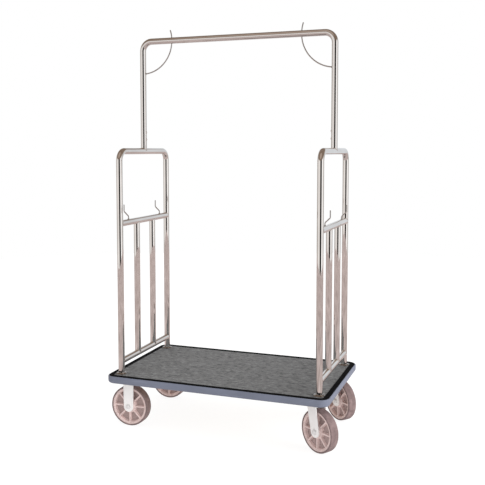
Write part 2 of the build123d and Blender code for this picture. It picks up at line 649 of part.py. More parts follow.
def wheel_core(trail):
    """Moulded core: hub, web, spokes on both faces and rim."""
    hub = ring(HUB_DIAMETER, BEARING_DIAMETER, -HUB_LENGTH / 2, HUB_LENGTH / 2)
    web_inner, web_outer = HUB_DIAMETER - 2 * CORE_OVERLAP, 2 * (RIM_INNER_RADIUS + CORE_OVERLAP)
    web = ring(web_outer, web_inner, -WEB_THICKNESS / 2, WEB_THICKNESS / 2)
    rim = ring(2 * RIM_OUTER_RADIUS, 2 * RIM_INNER_RADIUS, -RIM_WIDTH / 2, RIM_WIDTH / 2)
    reach = (web_outer - web_inner) / 2
    middle = (web_outer + web_inner) / 4
    core = hub + web + rim
    for i in range(SPOKE_COUNT):
        core += Rot(0, 0, 360 / SPOKE_COUNT * i) * Pos(middle, 0, 0) * Box(reach, SPOKE_WIDTH, SPOKE_DEPTH)
    return on_axle(core, trail)


def tyre(trail):
    band = ring(WHEEL_DIAMETER, 2 * RIM_OUTER_RADIUS, -TREAD_WIDTH / 2, TREAD_WIDTH / 2)
    circles = band.edges().filter_by(GeomType.CIRCLE)
    shoulders = [edge for edge in circles if edge.radius > WHEEL_RADIUS - TYRE_THICKNESS / 2]
    return on_axle(fillet(shoulders, TREAD_SHOULDER), trail)


# ---- assembly ------------------------------------------------------------------------------------

def cart_nodes():
    nodes = {
        "deck_board": deck_board(),
        "deck_carpet": deck_carpet(),
        "edge_moulding": edge_moulding(),
        "bumper": bumper(),
        "end_plate_screws": end_plate_screws(),
        "floor_flanges": floor_flanges(),
        "floor_flange_screws": floor_flange_screws(),
        "upright_plugs": upright_plugs(),
        "upright_bolts": upright_bolts(),
        "hanger_bar": hanger_bar(),
        "hanger_spigots": hanger_spigots(),
        "hanger_screws": hanger_screws(),
        "caster_bolts": caster_bolts(),
    }
    for end_name, end in ENDS.items():
        nodes[f"{end_name}_end_plate"] = end_plate(end)
        nodes[f"{end_name}_hoop"] = hoop(end)
        nodes[f"{end_name}_mid_rail"] = rail(end, MID_RAIL_HEIGHT)
        nodes[f"{end_name}_low_rail"] = rail(end, LOW_RAIL_HEIGHT)
        nodes[f"{end_name}_garment_hook"] = garment_hook(end)
        hooks = [rail_hook(end, side) for side in SIDES.values()]
        nodes[f"{end_name}_rail_hooks"] = Compound(children=hooks)
        for side_name, side in SIDES.items():
            nodes[f"{end_name}_{side_name}_spindle"] = spindle(end, side)
    return nodes


def caster_nodes():
    nodes = {}
    for end in ENDS:
        trail = SWIVEL_TRAIL if end == "right" else 0.0
        for side in SIDES:
            place = caster_place(end, side)
            name = f"{end}_{side}"
            nodes[f"{name}_wheel_core"] = place * wheel_core(trail)
            nodes[f"{name}_tyre"] = place * tyre(trail)
            nodes[f"{name}_wheel_bearing"] = place * wheel_bearing(trail)
    rigid = [caster_place("left", side) for side in SIDES]
    nodes["rigid_axle_sleeves"] = Compound(children=[place * axle_sleeve(0) for place in rigid])
    fasteners = [place * piece for place in rigid for piece in axle_fasteners(0)]
    nodes["rigid_axle_fasteners"] = Compound(children=fasteners)
    for side in SIDES:
        nodes[f"{side}_rigid_fork"] = caster_place("left", side) * rigid_fork()
        place = caster_place("right", side)
        nodes[f"{side}_swivel_fork"] = place * swivel_fork()
        nodes[f"{side}_swivel_race"] = place * swivel_race()
        nodes[f"{side}_race_balls"] = place * race_balls()
        nodes[f"{side}_swivel_sleeve"] = place * axle_sleeve(SWIVEL_TRAIL)
        pieces = [place * piece for piece in axle_fasteners(SWIVEL_TRAIL)]
        nodes[f"{side}_swivel_axle_fasteners"] = Compound(children=pieces)
        corner = Pos(CASTER_X, SIDES[side] * CASTER_Y, 0)
        nodes[f"{side}_swivel_plate"] = corner * swivel_plate()
        nodes[f"{side}_kingpin"] = corner * kingpin()
    return nodes


def write_parts():
    os.makedirs("parts", exist_ok=True)
    for name, shape in {**cart_nodes(), **caster_nodes()}.items():
        export_step(shape, f"parts/{name}.step")


write_parts()
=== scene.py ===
import json
import math

import bmesh
import bpy
from mathutils import Matrix, Vector


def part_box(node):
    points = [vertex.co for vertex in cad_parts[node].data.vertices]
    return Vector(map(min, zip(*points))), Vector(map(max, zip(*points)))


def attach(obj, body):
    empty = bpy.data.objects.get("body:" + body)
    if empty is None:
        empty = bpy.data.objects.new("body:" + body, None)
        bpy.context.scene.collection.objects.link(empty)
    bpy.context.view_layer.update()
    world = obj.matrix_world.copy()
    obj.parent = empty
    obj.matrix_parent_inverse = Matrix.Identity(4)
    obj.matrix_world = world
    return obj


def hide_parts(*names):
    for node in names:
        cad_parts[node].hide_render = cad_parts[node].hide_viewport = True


bl_info = {
    "name": "Hotel luggage cart",
    "version": (1, 0, 0),
    "blender": (4, 5, 0),
    "location": "View3D > Sidebar > Luggage cart",
    "description": "Builds the visible pieces and finishes of a hotel luggage cart round its CAD frame",
    "category": "Object",
}

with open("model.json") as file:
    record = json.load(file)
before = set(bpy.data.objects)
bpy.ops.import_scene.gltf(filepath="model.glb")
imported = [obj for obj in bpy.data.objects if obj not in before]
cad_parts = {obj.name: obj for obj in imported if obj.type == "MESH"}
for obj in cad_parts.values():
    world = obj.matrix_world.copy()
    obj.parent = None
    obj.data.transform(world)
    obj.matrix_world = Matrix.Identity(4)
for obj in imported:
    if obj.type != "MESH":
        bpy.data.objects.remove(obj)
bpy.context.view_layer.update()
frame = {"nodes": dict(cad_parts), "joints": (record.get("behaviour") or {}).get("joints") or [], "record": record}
ENDS = {"left": -1, "right": 1}
SIDES = {"front": -1, "rear": 1}
JOINTS = {joint["name"]: joint for joint in frame["joints"]}
X, Y, Z = Vector((1, 0, 0)), Vector((0, 1, 0)), Vector((0, 0, 1))


# ---- places read from the frame --------------------------------------------------------------

def extent(node):
    low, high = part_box(node)
    return high - low


TUBE_RADIUS = extent("left_mid_rail").z / 2
ROD_RADIUS = extent("left_garment_hook").y / 2
UPRIGHT_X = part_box("right_hoop")[1].x - TUBE_RADIUS
UPRIGHT_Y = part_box("right_hoop")[1].y - TUBE_RADIUS
WIRE_RADIUS = UPRIGHT_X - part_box("right_rail_hooks")[0].x
BOARD_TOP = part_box("deck_board")[1].z
BOARD_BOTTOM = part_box("deck_board")[0].z
CARPET_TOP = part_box("deck_carpet")[1].z
HOOP_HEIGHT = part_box("right_hoop")[1].z - TUBE_RADIUS
BAR_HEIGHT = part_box("hanger_bar")[1].z - TUBE_RADIUS
MID_RAIL_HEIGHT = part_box("left_mid_rail")[1].z - TUBE_RADIUS
LOW_RAIL_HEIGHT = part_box("left_low_rail")[1].z - TUBE_RADIUS
SPINDLE_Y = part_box("left_rear_spindle")[1].y - TUBE_RADIUS
DECK_LENGTH = extent("bumper").x
DECK_WIDTH = extent("bumper").y
BUMPER_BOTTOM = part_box("bumper")[0].z
BUMPER_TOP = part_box("bumper")[1].z
TRIM_INSET = (DECK_LENGTH - extent("edge_moulding").x) / 2
TRIM_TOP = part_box("edge_moulding")[1].z
TRIM_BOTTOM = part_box("edge_moulding")[0].z
CARPET_INSET = (DECK_LENGTH - extent("deck_carpet").x) / 2
BOARD_INSET = (DECK_LENGTH - extent("deck_board").x) / 2
WHEEL_RADIUS = extent("left_front_tyre").z / 2
TREAD_WIDTH = extent("left_front_tyre").y
CORE_RADIUS = extent("left_front_wheel_core").z / 2
HUB_LENGTH = extent("left_front_wheel_core").y
PLATE_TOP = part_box("front_rigid_fork")[1].z
CROWN_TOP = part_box("front_swivel_fork")[1].z


# ---- sizes and colours a user would change ---------------------------------------------------

def length(title, meaning, default):
    return bpy.props.FloatProperty(
        name=title, description=meaning, default=default, unit="LENGTH", min=0.0
    )


def colour(title, meaning, default):
    return bpy.props.FloatVectorProperty(
        name=title, description=meaning, default=default, subtype="COLOR", size=3, min=0.0, max=1.0
    )


def share(title, meaning, default):
    return bpy.props.FloatProperty(
        name=title, description=meaning, default=default, subtype="FACTOR", min=0.0, max=1.0
    )


class CartSizes(bpy.types.PropertyGroup):
    """Sizes that the frame's boxes don't give."""
    tube_bend: length("Tube bend", "Radius of the tube bends, to the tube's axis", 0.050)
    deck_corner: length("Deck corner", "Outer corner radius of the bumper", 0.048)
    bumper_thickness: length("Bumper thickness", "Bumper, from its face to the moulding's web", 0.022)
    rib_width: length("Moulding rib", "Width of the two ribs on the edge moulding", 0.0026)
    pile: length("Pile", "How far the carpet's tufts rise and fall", 0.0007)
    pile_pitch: length("Pile pitch", "Spacing of the carpet's modelled tufts", 0.0045)
    weld_bead: length("Weld bead", "Radius of the bead where tubes meet", 0.0012)
    spoke_width: length("Spoke width", "Width of a wheel's spokes", 0.0068)
    rim_ring: length("Rim ring", "Radial width of the core's rim", 0.0085)
    hub_ring: length("Hub", "Radius of the core's hub", 0.0305)
    rim_recess: length("Rim recess", "How far the spokes lie behind the rim's face", 0.0030)
    pocket_depth: length("Pocket depth", "Depth of the pockets between spokes", 0.0125)
    fork_wall: length("Fork wall", "Thickness of the fork's steel", 0.0048)
    fork_leg: length("Fork leg", "Width of the forks' legs at their top", 0.056)
    fork_foot: length("Fork foot", "Fork below the axle", 0.026)
    fork_lead: length("Fork lead", "Top of a swivel fork's legs, ahead of the kingpin", 0.020)
    crown_back: length("Crown back", "Swivel fork's crown behind the kingpin", 0.033)
    plate_thickness: length("Plate thickness", "Mounting plate of a rigid caster", 0.005)
    plate_corner: length("Plate corner", "Corner radius of that plate", 0.008)
    axle: length("Axle", "Diameter of the axle bolts", 0.012)
    axle_head: length("Axle head", "Axle bolt's head and nut, across flats", 0.018)
    axle_head_height: length("Axle head height", "Height of the axle bolt's head and nut", 0.0072)
    flange_screw: length("Flange screw", "Head radius of the floor flanges' screws", 0.0038)


class CartColours(bpy.types.PropertyGroup):
    """Base colours of the finishes."""
    tube: colour("Tube", "Polished stainless tube", (0.86, 0.825, 0.80))
    zinc: colour("Zinc", "Bright zinc on the forks", (0.92, 0.90, 0.895))
    carpet: colour("Carpet", "Deck carpet", (0.112, 0.112, 0.112))
    moulding: colour("Moulding", "Edge moulding", (0.0035, 0.0035, 0.004))
    bumper: colour("Bumper", "Bumper vinyl", (0.155, 0.170, 0.225))
    core: colour("Wheel core", "Moulded wheel core", (0.700, 0.545, 0.520))
    # The pocket colour is darker than the core partly for the rough web and partly as painted shade in the
    # recessed pockets.
    pocket: colour("Wheel pocket", "Rough moulded web between the spokes", (0.360, 0.270, 0.258))
    tread: colour("Tread", "Wheel tread", (0.180, 0.127, 0.125))
    board: colour("Board", "Sealed plywood", (0.420, 0.290, 0.160))


class CartStage(bpy.types.PropertyGroup):
    """Camera, floor and light."""
    camera_at: bpy.props.FloatVectorProperty(
        name="Camera", description="Where the camera stands", default=(1.341, -3.602, 1.403),
        subtype="TRANSLATION", unit="LENGTH",
    )
    camera_yaw: bpy.props.FloatProperty(
        name="Yaw", description="Camera's turn to the left", default=math.radians(19.84), subtype="ANGLE"
    )
    camera_pitch: bpy.props.FloatProperty(
        name="Pitch", description="Camera's tilt above level", default=math.radians(-4.11), subtype="ANGLE"
    )
    lens: bpy.props.FloatProperty(
        name="Lens", description="Focal length in millimetres", default=56.17, min=1.0, unit="CAMERA"
    )
    shift: bpy.props.FloatProperty(
        name="Shift", description="Upward shift of the lens, as a share of the frame", default=-0.0794,
        subtype="FACTOR", soft_min=-0.5, soft_max=0.5,
    )
    light: bpy.props.FloatProperty(
        name="Light", description="Strength of the room's light", default=0.92, subtype="FACTOR",
        min=0.0, soft_max=2.0,
    )
    sun: bpy.props.FloatProperty(
        name="Sun", description="Strength of the broad sun from the right", default=3.0, min=0.0, unit="POWER"
    )
    floor_size: length("Floor size", "Radius of the floor", 6.5)
    floor: share("Floor", "Brightness of the floor", 0.20)
    glow: share("Floor glow", "How far the floor is lit from behind", 0.88)


# ---- finishes --------------------------------------------------------------------------------

class Nodes:
    """Node building shared by the finishes and the room."""

    def __init__(self, tree, place):
        self.tree = tree
        self.place = place

    def add(self, kind, **settings):
        node = self.tree.nodes.new("ShaderNode" + kind)
        for setting, value in settings.items():
            setattr(node, setting, value)
        return node

    def link(self, source, target):
        self.tree.links.new(source, target)

    def feed(self, sockets, values):
        """Give each input its value, or link it where the value is another node's output."""
        for socket, value in zip(sockets, values):
            if isinstance(value, bpy.types.NodeSocket):
                self.link(value, socket)
            else:
                socket.default_value = value

    def ramp(self, source, low, high, out_low=0.0, out_high=1.0):
        """Stretch the part of a pattern between two values."""
        node = self.add("MapRange")
        self.feed(node.inputs, (source, low, high, out_low, out_high))
        return node.outputs["Result"]

    def mix(self, factor, first, second):
        """Blend two colours, each a tuple or an output."""
        node = self.add("Mix", data_type="RGBA")
        solid = [
            value if isinstance(value, bpy.types.NodeSocket) else (*value, 1.0) for value in (first, second)
        ]
        self.feed((node.inputs["Factor"], node.inputs[6], node.inputs[7]), (factor, *solid))
        return node.outputs[2]

    def maths(self, operation, *values):
        node = self.add("Math", operation=operation)
        self.feed(node.inputs, values)
        return node.outputs[0]


class Finish(Nodes):
    """One surface finish, its pattern read from the object's own coordinates."""

    def __init__(self, name, roughness, metallic=0.0, **sockets):
        self.material = bpy.data.materials.new(name)
        self.material.use_nodes = True
        super().__init__(self.material.node_tree, None)
        self.place = self.add("TexCoord").outputs["Object"]
        self.shader = self.tree.nodes["Principled BSDF"]
        self.shader.inputs["Roughness"].default_value = roughness
        self.shader.inputs["Metallic"].default_value = metallic
        for socket, value in sockets.items():
            self.shader.inputs[socket.replace("_", " ")].default_value = value
        self.normal = None

    def stretched(self, stretch):
        """Coordinates drawn out along an axis, so that grain runs that way."""
        mapping = self.add("Mapping")
        mapping.inputs["Scale"].default_value = stretch
        self.link(self.place, mapping.inputs["Vector"])
        return mapping.outputs["Vector"]

    def noise(self, scale, detail=3.0, stretch=None, distortion=0.0):
        node = self.add("TexNoise")
        node.inputs["Scale"].default_value = scale
        node.inputs["Detail"].default_value = detail
        node.inputs["Distortion"].default_value = distortion
        self.link(self.stretched(stretch) if stretch else self.place, node.inputs["Vector"])
        return node.outputs["Fac"]

    def cells(self, scale, stretch=None, feature="F1"):
        node = self.add("TexVoronoi", feature=feature)
        node.inputs["Scale"].default_value = scale
        self.link(self.stretched(stretch) if stretch else self.place, node.inputs["Vector"])
        return node.outputs["Distance"]

    def bump(self, height, distance, strength=1.0):
        node = self.add("Bump")
        node.inputs["Distance"].default_value = distance
        node.inputs["Strength"].default_value = strength
        self.link(height, node.inputs["Height"])
        if self.normal:
            self.link(self.normal, node.inputs["Normal"])
        self.normal = node.outputs["Normal"]
        self.link(self.normal, self.shader.inputs["Normal"])

    def paint(self, source):
        self.link(source, self.shader.inputs["Base Color"])

    def rough(self, source):
        self.link(source, self.shader.inputs["Roughness"])


def tinted(base, factor):
    return tuple(min(1.0, channel * factor) for channel in base)


def polished_tube(base):
    """Mirror-polished stainless: faint buffing haze, fingerprints and hairline scratches."""
    finish = Finish("polished_tube", 0.06, 1.0)
    haze = finish.noise(9.0, 4.0)
    finish.paint(finish.mix(finish.ramp(haze, 0.35, 0.7), tinted(base, 0.93), tinted(base, 1.05)))
    smudge = finish.ramp(finish.noise(38.0, 5.0, distortion=0.4), 0.45, 0.75, 0.02, 0.09)
    finish.rough(smudge)
    finish.bump(finish.noise(1400.0, 2.0, stretch=(1.0, 1.0, 0.01)), 0.000004, 0.05)
    finish.bump(finish.noise(14.0, 1.0), 0.0003, 0.05)
    return finish.material


def polished_wire(base):
    finish = Finish("polished_wire", 0.10, 1.0)
    finish.paint(finish.mix(finish.noise(60.0), tinted(base, 0.52), tinted(base, 0.72)))
    finish.rough(finish.ramp(finish.noise(120.0, 4.0), 0.3, 0.7, 0.08, 0.20))
    finish.bump(finish.noise(900.0, 2.0), 0.00002, 0.3)
    return finish.material


def polished_fitting(base, name="polished_fitting"):
    finish = Finish(name, 0.08, 1.0)
    finish.paint(finish.mix(finish.noise(90.0), tinted(base, 0.90), tinted(base, 1.10)))
    finish.rough(finish.ramp(finish.noise(200.0, 4.0), 0.3, 0.7, 0.05, 0.16))
    finish.bump(finish.noise(1600.0, 2.0), 0.00002, 0.3)
    return finish.material


def zinc_plate(base, name="zinc_plate", dull=0.0):
    """Bright zinc: soft spangle, drawn grain and a few handling marks."""
    finish = Finish(name, 0.38, 0.12, Specular_IOR_Level=0.35)
    spangle = finish.cells(120.0)
    cloudy = finish.mix(finish.ramp(finish.noise(30.0, 5.0), 0.35, 0.7), tinted(base, 0.95), base)
    finish.paint(finish.mix(finish.ramp(spangle, 0.0, 0.6), tinted(base, 0.965), cloudy))
    finish.rough(finish.ramp(finish.noise(75.0, 5.0), 0.3, 0.75, 0.32 + dull, 0.46 + dull))
    finish.bump(finish.noise(900.0, 3.0, stretch=(1.0, 1.0, 0.12)), 0.00002, 0.10)
    finish.bump(finish.noise(60.0, 2.0), 0.0002, 0.06)
    return finish.material


def carpet_pile(base):
    """Low loop pile: tufts in rows, flecked yarn and shading that drifts along the deck."""
    finish = Finish("carpet_pile", 0.95, 0.0, Sheen_Weight=0.12, Sheen_Roughness=0.6, Specular_IOR_Level=0.12)
    fleck = finish.noise(300.0, 3.0, stretch=(0.45, 1.0, 1.0))
    rows = finish.noise(150.0, 4.0, stretch=(0.16, 1.0, 1.0), distortion=0.3)
    drift = finish.noise(9.0, 3.0, stretch=(0.30, 1.0, 1.0))
    yarn = finish.mix(finish.ramp(fleck, 0.36, 0.64), tinted(base, 0.45), tinted(base, 1.60))
    streaked = finish.mix(finish.ramp(rows, 0.36, 0.64), tinted(base, 0.50), tinted(base, 1.55))
    blend = finish.mix(finish.ramp(drift, 0.3, 0.7, 0.35, 0.70), yarn, streaked)
    heather = finish.ramp(finish.noise(58.0, 5.0, stretch=(0.8, 1.0, 1.0)), 0.38, 0.62, 0.0, 0.75)
    streak = finish.ramp(finish.noise(75.0, 4.0, stretch=(0.5, 1.0, 1.0)), 0.40, 0.60)
    shade = finish.mix(streak, tinted(base, 0.30), tinted(base, 1.85))
    finish.paint(finish.mix(heather, blend, shade))
    finish.bump(finish.cells(650.0, stretch=(0.8, 1.0, 1.0)), 0.0008, 0.8)
    finish.bump(finish.noise(1500.0, 3.0), 0.0004, 0.6)
    return finish.material


def black_moulding(base):
    """Extruded black vinyl: half gloss, drawn along its length, with dull scuffs."""
    finish = Finish("black_moulding", 0.55, 0.0, Specular_IOR_Level=0.04, IOR=1.25)
    scuff = finish.ramp(finish.noise(55.0, 6.0, distortion=0.8), 0.56, 0.78)
    finish.paint(finish.mix(scuff, base, tinted(base, 3.2)))
    finish.rough(finish.ramp(finish.noise(85.0, 5.0), 0.3, 0.75, 0.42, 0.66))
    finish.bump(finish.noise(700.0, 3.0), 0.00008, 0.4)
    return finish.material


def bumper_vinyl(base):
    """Blue-grey vinyl: fine leather-like grain, cloudy colour and pale rub marks."""
    finish = Finish("bumper_vinyl", 0.50, 0.0, Specular_IOR_Level=0.45)
    cloud = finish.noise(5.5, 4.0)
    body = finish.mix(finish.ramp(cloud, 0.3, 0.7), tinted(base, 0.90), tinted(base, 1.10))
    scuffs = finish.noise(26.0, 7.0, stretch=(0.35, 0.35, 1.8), distortion=0.6)
    rub = finish.ramp(scuffs, 0.60, 0.80, 0.0, 0.55)
    finish.paint(finish.mix(rub, body, tinted(base, 1.75)))
    finish.rough(finish.ramp(finish.noise(40.0, 5.0), 0.3, 0.75, 0.40, 0.62))
    finish.bump(finish.cells(900.0, feature="SMOOTH_F1"), 0.00018, 0.5)
    finish.bump(finish.noise(130.0, 4.0), 0.0003, 0.15)
    return finish.material


def tread_rubber(base):
    """Warm grey non-marking tread with floor dust and fine scuffs."""
    finish = Finish("tread_rubber", 0.62, 0.0, Specular_IOR_Level=0.35)
    dust = finish.ramp(finish.noise(34.0, 7.0, distortion=0.5), 0.45, 0.78)
    mottled = finish.mix(finish.noise(160.0, 4.0), tinted(base, 0.82), tinted(base, 1.12))
    finish.paint(finish.mix(dust, mottled, tinted(base, 1.55)))
    finish.rough(finish.ramp(finish.noise(60.0, 5.0), 0.3, 0.75, 0.48, 0.75))
    finish.bump(finish.noise(420.0, 5.0), 0.00020, 0.5)
    return finish.material


def core_moulding(base):
    """Light moulded core with a faint flow mottle."""
    finish = Finish("core_moulding", 0.48, 0.0, Specular_IOR_Level=0.4)
    mottle = finish.noise(48.0, 5.0, distortion=0.3)
    finish.paint(finish.mix(finish.ramp(mottle, 0.3, 0.7), tinted(base, 0.86), tinted(base, 1.10)))
    finish.rough(finish.ramp(finish.noise(90.0, 4.0), 0.3, 0.7, 0.38, 0.60))
    finish.bump(finish.noise(600.0, 4.0), 0.00010, 0.4)
    return finish.material


def pocket_moulding_and_shade(base):
    """Rough, speckled web between the spokes, its darker colour partly real and partly painted shade in the
    recesses.
    """
    finish = Finish("pocket_moulding_and_shade", 0.75, 0.0, Specular_IOR_Level=0.25)
    speckle = finish.noise(240.0, 6.0)
    shade = finish.mix(finish.ramp(speckle, 0.36, 0.66), tinted(base, 0.62), tinted(base, 1.50))
    finish.paint(finish.mix(finish.ramp(finish.noise(30.0, 3.0), 0.35, 0.7), shade, tinted(base, 1.10)))
    finish.bump(speckle, 0.0006, 0.7)
    return finish.material


def plain_steel(name, base, roughness):
    """Rolled steel with mill streaks."""
    finish = Finish(name, roughness, 1.0)
    streak = finish.noise(60.0, 6.0, stretch=(1.0, 0.12, 1.0))
    finish.paint(finish.mix(finish.ramp(streak, 0.3, 0.7), tinted(base, 0.72), tinted(base, 1.08)))
    finish.rough(finish.ramp(finish.noise(45.0, 5.0), 0.3, 0.75, roughness - 0.08, roughness + 0.14))
    finish.bump(finish.noise(500.0, 4.0, stretch=(1.0, 0.1, 1.0)), 0.00006, 0.4)
    return finish.material


def plywood(base):
    """Sealed plywood seen from below: long figure along the deck and fine pores."""
    finish = Finish("plywood", 0.55, 0.0, Coat_Weight=0.2, Coat_Roughness=0.35)
    figure = finish.noise(14.0, 6.0, stretch=(0.10, 1.0, 3.0), distortion=1.4)
    pores = finish.noise(420.0, 3.0, stretch=(0.06, 1.0, 1.0))
    board = finish.mix(finish.ramp(figure, 0.32, 0.68), tinted(base, 0.70), tinted(base, 1.25))
    finish.paint(finish.mix(finish.ramp(pores, 0.60, 0.78, 0.0, 0.7), board, tinted(base, 0.45)))
    finish.rough(finish.ramp(figure, 0.3, 0.7, 0.45, 0.62))
    finish.bump(pores, 0.0002, 0.4)
    return finish.material


# ---- mesh tools ------------------------------------------------------------------------------

def new_piece(name, bm, body, slot, nodes, *materials, sharp=40.0):
    """Turn a finished bmesh into a piece that rides a body and stands for CAD nodes."""
    bmesh.ops.remove_doubles(bm, verts=bm.verts, dist=1e-6)
    bmesh.ops.recalc_face_normals(bm, faces=bm.faces)
    limit = math.radians(sharp)
    for face in bm.faces:
        face.smooth = True
    for edge in bm.edges:
        edge.smooth = edge.is_manifold and edge.calc_face_angle(0.0) < limit
    mesh = bpy.data.meshes.new(name)
    bm.to_mesh(mesh)
    bm.free()
    for material in materials:
        mesh.materials.append(material)
    piece = bpy.data.objects.new(name, mesh)
    bpy.context.scene.collection.objects.link(piece)
    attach(piece, body)
    if nodes:
        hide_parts(*nodes)
    return piece


def turned(origin, along):
    """Matrix that lays a shape drawn about Z onto a direction."""
    return Matrix.Translation(origin) @ Vector(along).to_track_quat("Z", "Y").to_matrix().to_4x4()


def hoop_of_edges(bm, centre, along, radius, segments):
    """Open ring of edges square to a direction."""
    made = bmesh.ops.create_circle(
        bm, cap_ends=False, radius=radius, segments=segments, matrix=turned(centre, along)
    )
    return list({edge for vert in made["verts"] for edge in vert.link_edges})


def everything(bm):
    return list(bm.verts) + list(bm.edges) + list(bm.faces)


def points_of(made):
    return [item for item in made if isinstance(item, bmesh.types.BMVert)]


def pull(bm, ring, offset, scale=1.0):
    """Draw a ring out by an offset, growing or shrinking it about its centre."""
    made = bmesh.ops.extrude_edge_only(bm, edges=ring)["geom"]
    verts = points_of(made)
    bmesh.ops.translate(bm, verts=verts, vec=offset)
    if scale != 1.0:
        centre = sum((vert.co for vert in verts), Vector()) / len(verts)
        bmesh.ops.scale(bm, verts=verts, vec=(scale, scale, scale), space=Matrix.Translation(-centre))
    fresh = set(verts)
    return [item for item in made if isinstance(item, bmesh.types.BMEdge) and set(item.verts) <= fresh]


def swing(bm, ring, centre, axis, angle, steps):
    """Draw a ring round a centre."""
    made = bmesh.ops.spin(
        bm, geom=ring, cent=centre, axis=axis, angle=angle, steps=steps, use_duplicate=False
    )
    return [item for item in made["geom_last"] if isinstance(item, bmesh.types.BMEdge)]


def cap(bm, ring):
    bmesh.ops.edgeloop_fill(bm, edges=ring)


def dome(bm, ring, along, radius, steps=4):
    """Close a rod with a rounded end."""
    for i in range(steps):
        before, after = (math.pi / 2 * k / (steps + 1) for k in (i, i + 1))
        rise = radius * (math.sin(after) - math.sin(before))
        ring = pull(bm, ring, along * rise, math.cos(after) / math.cos(before))
    cap(bm, ring)


def lathe(bm, profile, place, steps=64):
    """Spin (radius, height) points about Z, then move the shape to its place."""
    verts = [bm.verts.new((radius, 0.0, height)) for radius, height in profile]
    edges = [bm.edges.new(pair) for pair in zip(verts, verts[1:])]
    before = set(bm.verts)
    bmesh.ops.spin(
        bm, geom=verts + edges, cent=(0, 0, 0), axis=(0, 0, 1), angle=2 * math.pi, steps=steps, use_merge=True
    )
    made = verts + [vert for vert in bm.verts if vert not in before]
    bmesh.ops.remove_doubles(bm, verts=made, dist=1e-6)
    made = [vert for vert in made if vert.is_valid]
    bmesh.ops.transform(bm, matrix=place, verts=made)
    return made


def soften(bm, edges, offset, segments=2):
    bmesh.ops.bevel(
        bm, geom=edges, offset=offset, segments=segments, profile=0.5, affect="EDGES", material=-1,
        clamp_overlap=True,
    )


def sharp_edges(bm, degrees=35.0):
    return [
        edge for edge in bm.edges
        if edge.is_manifold and edge.calc_face_angle(0.0) > math.radians(degrees)
    ]


# ---- deck ------------------------------------------------------------------------------------

def band_round_deck(bm, profile, corner):
    """Draw a closed profile of (inset, height, corner radius) round the deck's rounded outline."""
    half_x, half_y = DECK_LENGTH / 2 - corner, DECK_WIDTH / 2 - corner
    verts = [bm.verts.new((-half_x, -DECK_WIDTH / 2 + inset, height)) for inset, height, _ in profile]
    for pair in zip(verts, verts[1:] + verts[:1]):
        bm.edges.new(pair)
    for vert, radius in sorted(zip(verts, (point[2] for point in profile)), key=lambda item: item[1]):
        if radius:
            bmesh.ops.bevel(
                bm, geom=[vert], offset=radius, segments=5, profile=0.5, affect="VERTICES", material=-1
            )
    ring = list(bm.edges)
    runs = [(X * 2 * half_x, (half_x, -half_y)), (Y * 2 * half_y, (half_x, half_y)),
            (-X * 2 * half_x, (-half_x, half_y)), (-Y * 2 * half_y, (-half_x, -half_y))]
    for run, (x, y) in runs:
        ring = pull(bm, ring, run)
        ring = swing(bm, ring, (x, y, 0), (0, 0, 1), math.pi / 2, 14)


class CART_OT_carpet(bpy.types.Operator):
    """Low pile carpet laid inside the edge moulding"""
    bl_idname = "cart.carpet"
    bl_label = "Carpet"

    def execute(self, context):
        sizes, colours = context.scene.cart_sizes, context.scene.cart_colours
        size = extent("deck_carpet")
        columns, rows = round(size.x / sizes.pile_pitch), round(size.y / sizes.pile_pitch)
        level = CARPET_TOP - sizes.pile
        place = Matrix.Translation((0, 0, level)) @ Matrix.Diagonal((size.x, size.y, 1, 1))
        bm = bmesh.new()
        bmesh.ops.create_grid(bm, x_segments=columns, y_segments=rows, size=0.5, matrix=place)
        for end in ENDS.values():
            for side in SIDES.values():
                self.round_corner(bm, size, end, side, sizes.deck_corner - CARPET_INSET)
        rim = [edge for edge in bm.edges if edge.is_boundary]
        cap(bm, pull(bm, rim, -Z * (level - BOARD_TOP)))
        for vert in bm.verts:
            if vert.co.z > BOARD_TOP + sizes.pile:
                vert.co.z += sizes.pile * self.tuft(vert.co.x, vert.co.y, sizes.pile_pitch)
        new_piece("carpet", bm, "cart", "carpet", ["deck_carpet"], carpet_pile(colours.carpet), sharp=80.0)
        return {"FINISHED"}

    def round_corner(self, bm, size, end, side, radius):
        """Cut one corner of the sheet round, with a few straight cuts."""
        centre = Vector((end * (size.x / 2 - radius), side * (size.y / 2 - radius), CARPET_TOP))
        for turn in (15, 30, 45, 60, 75):
            away = Vector((end * math.cos(math.radians(turn)), side * math.sin(math.radians(turn)), 0))
            bmesh.ops.bisect_plane(
                bm, geom=everything(bm), plane_co=centre + away * radius, plane_no=away, clear_outer=True
            )

    def tuft(self, x, y, pitch):
        """Height of the pile, from 0 to 1: uneven rows along the deck, broken into tufts."""
        row = math.sin(y * math.tau / (2.6 * pitch) + 0.8 * math.sin(9 * x))
        knot = math.sin(211 * x + 3 * math.sin(37 * y)) * math.sin(173 * y)
        return 0.45 + 0.30 * row + 0.25 * knot


